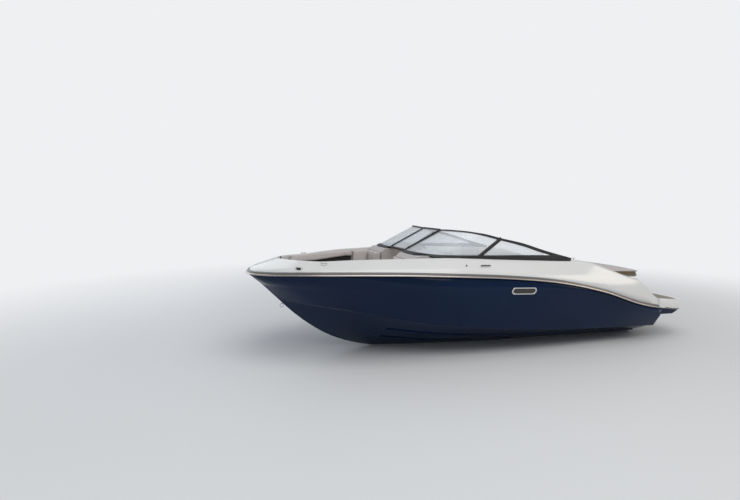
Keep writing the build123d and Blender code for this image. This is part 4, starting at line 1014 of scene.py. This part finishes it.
# Bucket seats. Each is a cushion and a bolstered backrest in a moulded shell on a swivel plate,
# and it turns on a pedestal screwed to the sole.
SEAT_X, SEAT_Y, SOLE = -0.130, 0.480, 0.110


def turned(form, at, axis, profile, steps=24):
    """Body of revolution about an axis, from (along the axis, radius) pairs."""
    axis = Vector(axis).normalized()
    side = axis.orthogonal().normalized()
    other = axis.cross(side)
    tube(form, [oval(Vector(at) + axis * along, side * radius, other * radius, steps) for along, radius in profile])


def across_seat(y, stations, outline, cut):
    """Rings of a seat's side view, one at each (way out, lift, growth) station across the seat."""
    middle = sum((Vector(p) for p in outline), Vector((0, 0))) / len(outline)
    rings = []
    for out, lift, growth in stations:
        ring = [middle + (Vector(p) - middle) * growth for p in outline]
        rings.append(soft_ring([Vector((SEAT_X + p.x, y + out, SOLE + p.y + lift)) for p in ring], cut))
    return rings


shell_plastic = deck_gelcoat("seat_shell_plastic", (0.30, 0.29, 0.28), 0.38)
aluminium = steel("satin_aluminium", 0.30, (0.66, 0.67, 0.68))
CUSHION = [(-0.150, 0.352), (0.215, 0.352), (0.226, 0.400), (0.196, 0.434), (-0.150, 0.416)]
SHELLS = [
    # half width and side view of the shell's two halves, under the cushion and behind it
    (0.215, [(-0.205, 0.330), (0.210, 0.334), (0.222, 0.352), (-0.150, 0.356), (-0.175, 0.400)]),
    (0.150, [(-0.222, 0.335), (-0.180, 0.340), (-0.205, 0.470), (-0.238, 0.520), (-0.246, 0.440)]),
]
BACK_FOOT, BACK_HEAD = Vector((SEAT_X - 0.214, 0, SOLE + 0.440)), Vector((SEAT_X - 0.236, 0, SOLE + 0.852))
back_up = (BACK_HEAD - BACK_FOOT).normalized()
back_corners = [(-0.222, -0.010), (0.222, -0.010), (0.208, 0.408), (-0.208, 0.408)]
back_plan = soft_ring([Vector(p) for p in back_corners], 0.075, 5)
stations = sorted({
    (side * out, 0.014 * lift, growth) for side in (-1, 1) for out, lift, growth in (
        (0.222, 0.2, 0.90), (0.205, 0.9, 1.0), (0.180, 1.0, 1.0), (0.140, 0.1, 1.0), (0.0, 0.0, 1.0))
})
for node, body, y in (("helm_seat", "helm_seat_body", -SEAT_Y), ("companion_seat", "companion_seat_body", SEAT_Y)):
    form = bmesh.new()
    tube(form, across_seat(y, stations, CUSHION, 0.018))
    channels = [((0, y + side * 0.135, 0), (0, 1, 0), 0.010, 0.005) for side in (-1, 1)]
    stuffed(form, node + "_cushion", light_vinyl, SOLE + 0.37, node, body, 0.006, 0.010, channels)
    # the back stands on its own plane: across, up and out of it
    stand = Matrix((PORT, back_up, Vector((back_up.z, 0, -back_up.x)))).transposed().to_4x4()
    stand.translation = BACK_FOOT + PORT * y
    form = bmesh.new()
    slab(form, back_plan, 0.004, 0.052, 0.022)
    bmesh.ops.transform(form, matrix=stand, verts=form.verts)
    stuffed(form, node + "_backrest", light_vinyl, SOLE + 0.45, node, body, 0.006, 0.010, channels)
    form = bmesh.new()
    slab(form, inset_ring(back_plan, -0.002, 0), -0.016, 0.008, 0.010)
    bmesh.ops.transform(form, matrix=stand, verts=form.verts)
    for half, outline in SHELLS:
        ends = [(-half, 0, 0.97), (0.010 - half, 0, 1.0), (half - 0.010, 0, 1.0), (half, 0, 0.97)]
        tube(form, across_seat(y, ends, outline, 0.008))
    piece(form, node + "_shell", shell_plastic, node, body)
form = bmesh.new()
for y in (-SEAT_Y, SEAT_Y):
    turned(form, (SEAT_X, y, SOLE), UP, [
        (0.000, 0.130), (0.006, 0.130), (0.011, 0.124), (0.014, 0.100), (0.015, 0.052), (0.021, 0.044), (0.034, 0.038),
        (0.210, 0.037), (0.213, 0.034), (0.216, 0.034), (0.219, 0.037), (0.300, 0.037), (0.306, 0.046), (0.321, 0.046),
        (0.324, 0.042),
    ], 36)
    for place in oval(Vector((SEAT_X, y, SOLE + 0.013)), Vector((0.106, 0, 0)), PORT * 0.106, 6):
        turned(form, place, UP, [(0.0, 0.009), (0.002, 0.009), (0.004, 0.006), (0.0045, 0.001)], 12)
piece(form, "pedestals", aluminium, "seat_pedestals")

# Steering wheel. A padded rim on three brushed spokes round a capped hub; it turns on a column
# that leaves the dash through a moulded boot.
WHEEL_AT, WHEEL_TILT, WHEEL_R = Vector((0.415, -SEAT_Y, 0.850)), math.radians(32), 0.175
wheel_out = Vector((-math.cos(WHEEL_TILT), 0, math.sin(WHEEL_TILT)))
wheel_up = Vector((math.sin(WHEEL_TILT), 0, math.cos(WHEEL_TILT)))
paint = Finish("black_plastic")
wear = paint.noise(12.0, 3.0)
leather = paint.node("TexVoronoi", {"Vector": paint.at, "Scale": 380.0}).outputs["Distance"]
black_plastic = paint.done({
    "Base Color": paint.tones(wear, (0.010, 0.010, 0.011), (0.028, 0.027, 0.026)),
    "Roughness": paint.between(wear, 0.38, 0.60), "Normal": paint.relief(leather, 0.18, 0.0006),
})


def on_wheel(angle, radius, out):
    return WHEEL_AT + (PORT * math.cos(angle) + wheel_up * math.sin(angle)) * radius + wheel_out * out


form = bmesh.new()
rings = []
for k in range(48):
    a = k * math.tau / 48
    grip = 0.0105 + 0.0012 * max(0, math.cos(3 * a + math.pi / 2)) ** 4
    spoke_way = on_wheel(a, 1, 0) - WHEEL_AT
    rings.append(oval(on_wheel(a, WHEEL_R, 0), spoke_way * grip, wheel_out * grip, 10))
tube(form, rings, hoop=True)
turned(form, WHEEL_AT - wheel_out * 0.008, wheel_out, [
    (0.000, 0.046), (0.004, 0.048), (0.012, 0.046), (0.016, 0.038), (0.017, 0.034), (0.0165, 0.031), (0.020, 0.028),
    (0.022, 0.015),
], 30)
piece(form, "wheel_rim", black_plastic, "steering_wheel", "wheel")
form = bmesh.new()
for k in range(3):
    a = math.pi / 2 + k * math.tau / 3
    rings = []
    for radius, wide, out in (
        (0.036, 0.020, 0.002), (0.070, 0.015, 0.001), (0.110, 0.012, -0.001), (0.150, 0.012, -0.001),
        (0.172, 0.015, 0.0),
    ):
        rings.append([on_wheel(a + wide / radius * share, radius, out + h) for share, h in (
            (-1, -0.0025), (-1, 0.0015), (-0.7, 0.003), (0.7, 0.003), (1, 0.0015), (1, -0.0025))])
    tube(form, rings)
piece(form, "wheel_spokes", aluminium, body="wheel")
form = bmesh.new()
turned(form, WHEEL_AT, -wheel_out, [
    (0.0095, 0.027), (0.016, 0.030), (0.060, 0.031), (0.066, 0.036), (0.120, 0.042), (0.126, 0.040), (0.131, 0.044),
    (0.190, 0.050), (0.195, 0.048),
], 28)
piece(form, "column_boot", black_plastic, "helm_column")

# Gauge panel and throttle. Four round gauges with bright bezels sit in a black panel on the dash,
# with a row of rocker switches between them; the lever stands in its box on the cockpit's side.
DASH_HIGH, DASH_LOW = Vector((0.608, 0, 0.982)), Vector((0.545, 0, 0.885))
dash_up = (DASH_HIGH - DASH_LOW).normalized()
dash_out = Vector((-dash_up.z, 0, dash_up.x))
dash_middle = (DASH_HIGH + DASH_LOW) / 2 - PORT * SEAT_Y


def on_dash(across, up, out):
    return dash_middle + PORT * across + dash_up * up + dash_out * out


def plate(form, at, wide, tall, out, deep, cut=0.004):
    """Bevelled plate standing off a plane that a function gives, from its middle."""
    made = bmesh.ops.create_cube(form, size=1)["verts"]
    for vert in made:
        vert.co = at(vert.co.x * wide, vert.co.y * tall, out + deep * (vert.co.z + 0.5))
    rounded(form, list({e for v in made for e in v.link_edges}), cut, 2)


def stroke(form, across, degrees, near, far, half, out, taper=1.0):
    """Printed stroke on a dial, along a way from the dial's middle."""
    way = Vector((math.cos(math.radians(degrees)), math.sin(math.radians(degrees))))
    wide = Vector((-way.y, way.x)) * half
    form.faces.new([form.verts.new(on_dash(across + p.x, p.y, out)) for p in (
        way * near - wide, way * far - wide * taper, way * far + wide * taper, way * near + wide)])


form = bmesh.new()
plate(form, on_dash, 0.396, 0.082, 0.0005, 0.0048, 0.002)
for k in range(6):
    plate(form, lambda a, b, c, k=k: on_dash(a - 0.0225 + 0.009 * k, b - 0.004, c), 0.0070, 0.016, 0.005, 0.0035, 0.001)
piece(form, "gauge_panel", black_plastic, "helm_panel")
GAUGES = [(-0.140, 0.024), (-0.062, 0.036), (0.062, 0.036), (0.140, 0.024)]
bezels, dials, marks = bmesh.new(), bmesh.new(), bmesh.new()
for across, radius in GAUGES:
    turned(bezels, on_dash(across, 0, 0), dash_out, [
        (0.004, radius), (0.0095, radius), (0.0115, radius - 0.0015), (0.0105, radius - 0.0035),
        (0.0070, radius - 0.0045),
    ], 32)
    face = [(0.0068, radius - 0.003), (0.0074, radius - 0.0044), (0.0076, 0.001)]
    turned(dials, on_dash(across, 0, 0), dash_out, face, 32)
    for k in range(11):
        stroke(marks, across, -45 + 27 * k, radius * 0.66, radius * 0.80, 0.0007 if k % 2 else 0.0011, 0.0080)
    stroke(marks, across, 200, -radius * 0.12, radius * 0.7, 0.0012, 0.0084, 0.3)
bmesh.ops.solidify(marks, geom=marks.faces[:], thickness=-0.0004)
dial_paint = deck_gelcoat("dial_white", (0.72, 0.72, 0.70), 0.35)
piece(bezels, "gauge_bezels", bright_steel)
piece(dials, "gauge_dials", black_plastic)
piece(marks, "gauge_marks", dial_paint)

THROTTLE_AT = Vector((0.385, -0.8595, 0.800))


def on_side(along, up, out):
    return THROTTLE_AT + Vector((along, out, up))


form = bmesh.new()
THROTTLE_BOX = [(-0.072, 0.036), (-0.050, 0.050), (0.060, 0.046), (0.075, -0.035), (0.060, -0.050),
                (-0.060, -0.050), (-0.080, -0.040)]
box_line = soft_ring([Vector(p) for p in THROTTLE_BOX], 0.014)
tube(form, [[on_side(p.x * s, p.y * s, out) for p in box_line] for s, out in (
    (1.0, 0.0), (1.0, 0.030), (0.97, 0.038), (0.90, 0.0435))])
turned(form, on_side(0, 0, 0.040), PORT, [(0.0, 0.026), (0.006, 0.026), (0.010, 0.022), (0.012, 0.012)], 24)
piece(form, "throttle_box", black_plastic, "throttle_control")
form = bmesh.new()
tube(form, [
    [on_side(x, z, 0.0515 + w) for x, w in (
        (x0, -0.005), (x0 + 0.003, -0.0065), (x1 - 0.003, -0.0065), (x1, -0.005),
        (x1, 0.005), (x1 - 0.003, 0.0065), (x0 + 0.003, 0.0065), (x0, 0.005))]
    for x0, x1, z in ((-0.015, 0.015, -0.010), (-0.016, 0.014, 0.010), (-0.034, -0.010, 0.070), (-0.056, -0.038, 0.146))
])
piece(form, "throttle_lever", aluminium)
form = bmesh.new()
turned(form, on_side(-0.047, 0.159, 0.021), PORT, [
    (0.000, 0.008), (0.003, 0.014), (0.010, 0.017), (0.030, 0.0165), (0.050, 0.017), (0.057, 0.014), (0.060, 0.008),
], 20)
piece(form, "throttle_grip", black_plastic)

# Glove box. The port dash has a moulded lid in the consoles' gelcoat, with a softly rounded border
# and a flush steel latch.
form = bmesh.new()
for smaller, out, deep, cut in ((0.0, 0.0006, 0.006, 0.0025), (0.030, 0.0056, 0.003, 0.0015)):
    plate(form, lambda a, b, c: on_dash(a + 2 * SEAT_Y, b, c), 0.360 - smaller, 0.074 - smaller, out, deep, cut)
piece(form, "glove_box_lid", console_gelcoat_lit_tops)
form = bmesh.new()
turned(form, on_dash(2 * SEAT_Y, 0.018, 0.009), dash_out, [
    (0.0, 0.011), (0.002, 0.011), (0.003, 0.009), (0.002, 0.006), (0.0025, 0.001)], 24)
piece(form, "glove_box_latch", bright_steel)

# Engine hatch and sun pad. The hatch is a white moulding hinged at its forward edge; the sun pad on
# it is brown vinyl round the side and light on top, sewn in panels, and overhangs the trunk.
FORE_EDGE, HATCH_WIDE, PAD_WIDE = -1.562, 0.688, 0.682


def bowed(corner_x, half, reach, count=9):
    """Points of the bowed aft edge from port to starboard, through the reach on the centreline."""
    deep = corner_x - reach
    radius = (half * half + deep * deep) / (2 * deep)
    return [Vector((reach + radius - math.sqrt(radius * radius - y * y), y))
            for y in (half * (1 - 2 * k / (count - 1)) for k in range(count))]


form = bmesh.new()
corners = [Vector((FORE_EDGE, -HATCH_WIDE)), Vector((FORE_EDGE, HATCH_WIDE))]
slab(form, soft_ring(corners + bowed(-2.300, HATCH_WIDE, -2.438), 0.012, 2), 0.6255, 0.6545, 0.006)
piece(form, "hatch_moulding", deck_white, "engine_hatch", "hatch")
form = bmesh.new()
for y in (-0.460, 0.400):
    turned(form, (-1.550, y, 0.632), PORT, [(0.0, 0.005), (0.001, 0.006), (0.059, 0.006), (0.060, 0.005)], 16)
piece(form, "hatch_hinge_pins", bright_steel, body="hatch")

brown_vinyl = marine_vinyl("sun_pad_vinyl", (0.095, 0.070, 0.035), (0.135, 0.100, 0.052), (0.741, *LIGHT_TONES))
form = bmesh.new()
corners = [Vector((-1.580, -PAD_WIDE)), Vector((-1.580, PAD_WIDE))]
pad_plan = soft_ring(corners + bowed(-2.442, PAD_WIDE, -2.636), 0.045)
slab(form, pad_plan, 0.658, 0.752, 0.030)
panels = [((0, y, 0), (0, 1, 0), 0.020, 0.008) for y in (-0.228, 0.228)]
stuffed(form, "sun_pad_cover", brown_vinyl, 0.685, "sun_pad", "hatch", 0.010, 0.014, panels)
form = bmesh.new()
for z in (0.676, 0.738):
    welt(form, inset_ring(pad_plan, -0.004, z), 0.004)
piece(form, "sun_pad_piping", piping_vinyl, body="hatch")

# Engine and stern drive. The engine is a plain painted block under the hatch. The drive's castings
# are satin black with fine cast grain; the propeller and the trim rods are bare stainless steel.
paint = Finish("drive_paint")
salt = paint.noise(9.0, 4.0)
drive_black = paint.done({
    "Base Color": paint.tones(salt, (0.012, 0.012, 0.013), (0.035, 0.035, 0.036), 0.40, 0.75),
    "Roughness": paint.between(salt, 0.30, 0.50), "Normal": paint.relief(paint.noise(260.0, 3.0), 0.16, 0.0008),
})
for name in ("engine", "gimbal_housing", "gimbal_ring", "drive_leg", "trim_barrels"):
    dress(name, drive_black)
prop_steel = steel("propeller_steel", 0.18, (0.60, 0.60, 0.61))
for name in ("trim_rods", "propeller"):
    dress(name, prop_steel)

form = bmesh.new()
turned(form, (-3.072, 0, -0.570), (-1, 0, 0), [
    (0.0, 0.016), (0.010, 0.016), (0.012, 0.014), (0.022, 0.012), (0.026, 0.006)], 6)
piece(form, "propeller_nut", bright_steel, body="prop")
transom_run = TRANSOM_RISE.normalized()
transom_out = Vector((-transom_run.z, 0, transom_run.x))
form = bmesh.new()
for y in (-0.130, 0.130):
    for along in (-0.020, -0.120, -0.220, -0.330):
        spot = TRANSOM_TOP + PORT * y + transom_run * along
        spot.x = min(-2.545, spot.x) if spot.z > 0.16 else spot.x - 0.0005
        turned(form, spot, (-1, 0, 0), [(-0.004, 0.009), (0.003, 0.009), (0.006, 0.006), (0.0065, 0.001)], 6)
piece(form, "housing_bolts", bright_steel)

# Bow and stern fittings. Low steel cleats on two feet, the stem's eye, two lifting eyes and the
# tow eye, all polished stainless steel.
CLEATS = [(2.200, 0.600, 0.800, 36), (-1.010, 0.925, 0.912, 0)]


def on_deck(x, y, z, turn, side):
    """Point maker for a fitting on one side of the deck, turned to run with the rail."""
    a = math.radians(turn)
    along, across = Vector((math.cos(a), -side * math.sin(a), 0)), Vector((side * math.sin(a), math.cos(a), 0))
    return lambda u, v, w: Vector((x, side * y, z)) + along * u + across * v + Vector((0, 0, w))


form = bmesh.new()
for x, y, z, turn in CLEATS:
    for side in (-1, 1):
        at = on_deck(x, y, z, turn, side)
        for foot in (-0.028, 0.028):
            turned(form, at(foot, 0, 0), UP, [
                (-0.030, 0.014), (0.004, 0.013), (0.010, 0.0075), (0.026, 0.0065), (0.034, 0.009)], 16)
        rings = []
        for u, wide, low, high in (
            (-0.0545, 0.004, 0.0375, 0.0405), (-0.052, 0.007, 0.0340, 0.0410), (-0.040, 0.0085, 0.0315, 0.0405),
            (0.0, 0.009, 0.0300, 0.0395), (0.040, 0.0085, 0.0315, 0.0405), (0.052, 0.007, 0.0340, 0.0410),
            (0.0545, 0.004, 0.0375, 0.0405),
        ):
            across = at(u, wide, 0) - at(u, 0, 0)
            rings.append(oval(at(u, 0, (low + high) / 2), across, UP * (high - low) / 2, 12))
        tube(form, rings)
piece(form, "horn_cleats", bright_steel, "cleats")

STEM_EYE, EYE_FLANGE = Vector((2.571, 0, 0.239)), [(-0.002, 0.030), (0.003, 0.030), (0.005, 0.027), (0.0055, 0.002)]


def ring_bolt(form, centre, axis, radius, bar=0.005, steps=36):
    """Round bar bent to a ring about an axis, measured to its outside."""
    side = axis.orthogonal().normalized()
    other = axis.cross(side)
    tube(form, [
        oval(Vector(centre) + way * (radius - bar), way * bar, axis * bar, 12)
        for way in oval(Vector(), side, other, steps)
    ], hoop=True)


form = bmesh.new()
ring_bolt(form, STEM_EYE, PORT, 0.027)
stem_way = Vector((math.cos(math.radians(-45.3)), 0, math.sin(math.radians(-45.3))))
turned(form, STEM_EYE - stem_way * 0.024, -stem_way, [
    (0.0, 0.0065), (0.010, 0.0065), (0.013, 0.013), (0.040, 0.014)], 16)
piece(form, "stem_eye", bright_steel, "bow_eye")
form = bmesh.new()
for y in (-0.600, 0.600):
    ring_bolt(form, (-2.537, y, 0.100), PORT, 0.024)
    spot = TRANSOM_TOP + PORT * y + transom_run * ((0.100 - TRANSOM_TOP.z) / transom_run.z)
    turned(form, spot, transom_out, EYE_FLANGE, 24)
ring_bolt(form, (TRUNK_AFT - 0.002, 0, 0.475), UP, 0.028)
turned(form, (TRUNK_AFT, 0, 0.475), (-1, 0, 0), EYE_FLANGE, 24)
piece(form, "lifting_and_tow_eyes", bright_steel, "stern_eyes")

# Hull vents. A polished slot-shaped rim stands off each topside, and the opening in it is crossed by
# two slats; it is left plain, without lettering. A shallow cap closes the opening just behind the rim;
# its dark colour, which the slats share, is painted shade for the depth of the opening.
VENT_X, VENT_Z, VENT_LONG, VENT_TALL = -0.137, 0.572, 0.340, 0.092
# Painted shade: dark colour of the vent's cap and slats, standing for the shade inside the opening.
paint = Finish("vent_painted_shade")
dust = paint.noise(60.0, 3.0)
vent_shade_dark = paint.done({
    "Base Color": paint.tones(dust, (0.050, 0.046, 0.040), (0.095, 0.088, 0.075)),
    "Roughness": paint.between(dust, 0.45, 0.65),
})


def on_topside(x, z, out, side):
    """Point off the hull's side, which leans outward and aft a little where the vent is."""
    return Vector((x, side * (1.1363 - 0.0515 * (x - VENT_X) + 0.237 * (z - VENT_Z) + out), z))


def slot_ring(inset, out, side, steps=10):
    """Closed line of a slot on its side, drawn in by an inset."""
    half, radius = (VENT_LONG - VENT_TALL) / 2, VENT_TALL / 2 - inset
    ring = []
    for end, start in ((1, -90), (-1, 90)):
        for k in range(steps + 1):
            a = math.radians(start + 180 * k / steps)
            x, z = VENT_X + end * half + radius * math.cos(a), VENT_Z + radius * math.sin(a)
            ring.append(on_topside(x, z, out, side))
    return ring


rims, wells, slats = bmesh.new(), bmesh.new(), bmesh.new()
for side in (-1, 1):
    tube(rims, [slot_ring(inset, out, side) for inset, out in (
        (0.0, -0.018), (0.0, 0.009), (0.002, 0.0125), (0.006, 0.0145), (0.012, 0.015), (0.015, 0.0135), (0.018, 0.009),
        (0.018, -0.018),
    )])
    tube(wells, [slot_ring(inset, out, side) for inset, out in ((0.015, -0.014), (0.015, 0.001), (0.020, 0.003))])
    reach = VENT_LONG / 2 - 0.022
    for z in (VENT_Z - 0.014, VENT_Z + 0.014):
        tube(slats, [
            [on_topside(VENT_X + x, z + up, out, side) for out, up in (
                (0.002, -0.006 * s), (0.009, -0.0055 * s), (0.011, -0.003 * s), (0.007, 0.005 * s), (0.002, 0.005 * s))]
            for x, s in ((-reach, 0.6), (-reach + 0.006, 1.0), (reach - 0.006, 1.0), (reach, 0.6))
        ])
piece(rims, "vent_rims", bright_steel, "hull_vents")
piece(wells, "vent_wells", vent_shade_dark)
piece(slats, "vent_slats", vent_shade_dark)

# Bow lights. A dark smoked lens, fluted inside, in a moulded white housing whose flat foot is
# screwed down on each shoulder of the bow.
LIGHT_AT = (2.470, 0.550, 0.740, 36)
paint = Finish("smoked_lens")
flutes = paint.node("TexWave", {"Vector": paint.at, "Scale": 60.0, "Distortion": 0.0}, bands_direction="Z")
lens_dark = paint.done({
    "Base Color": paint.tones(paint.noise(30.0, 2.0), (0.012, 0.010, 0.012), (0.030, 0.022, 0.024)), "Roughness": 0.08,
    "Normal": paint.relief(flutes.outputs["Fac"], 0.25, 0.0008),
})


def cut_corners(long, wide, cut):
    a, b = long / 2, wide / 2
    return [Vector(p) for p in ((-a, cut - b), (cut - a, -b), (a - cut, -b), (a, cut - b),
                                (a, b - cut), (a - cut, b), (cut - a, b), (-a, b - cut))]


housings, lenses = bmesh.new(), bmesh.new()
for side in (-1, 1):
    at = on_deck(*LIGHT_AT, side)
    line = soft_ring(cut_corners(0.092, 0.044, 0.012), 0.004)
    tube(housings, [[at(p.x * s, p.y * s * 0.98, up) for p in line] for s, up in (
        (1.0, 0.0), (1.0, 0.0475), (0.985, 0.0515), (0.94, 0.0535))])
    lens = soft_ring(cut_corners(0.062, 0.024, 0.009), 0.004)
    tube(lenses, [[at(p.x * s, out, 0.030 + p.y * s) for p in lens] for s, out in (
        (1.0, 0.0175), (1.0, 0.0237), (0.92, 0.0257), (0.7, 0.0267))])
piece(housings, "light_housings", deck_white, "nav_lights")
piece(lenses, "light_lenses", lens_dark)

# Small fittings of the deck. A latch in the bow well, a screw cap and a slot-shaped drain on each
# shoulder, and a thin dark bead along the platform's lower edge.
def on_shoulder(side):
    """Point maker for the shoulder of the deck beside the windshield, which slopes outward."""
    return lambda a, b, c: Vector((0.360 + a, side * (1.052 - 0.5 * b + 0.86 * c), 0.868 + 0.86 * b + 0.5 * c))


form = bmesh.new()
for side in (-1, 1):
    turned(form, (0.605, side * 1.030, 0.866), (0, side * 0.5, 0.86), [
        (-0.004, 0.009), (0.003, 0.009), (0.0045, 0.007), (0.005, 0.001)], 16)
    plate(form, on_shoulder(side), 0.130, 0.009, -0.003, 0.005, 0.0015)
plate(form, lambda a, b, c: Vector((2.602 - c, a, 0.838 + b)), 0.050, 0.022, -0.004, 0.010, 0.002)
piece(form, "deck_caps", black_plastic)
form = bmesh.new()
bead_line, rings = platform_outline(-0.0015, PLATFORM_FOOT, 0.010), []
for before, at, after in zip(bead_line, bead_line[1:], bead_line[2:]):
    out = (after - before).cross(UP).normalized()
    rings.append(oval(at, out * 0.003, UP * 0.005, 8))
tube(form, rings)
piece(form, "platform_bead", black_plastic)
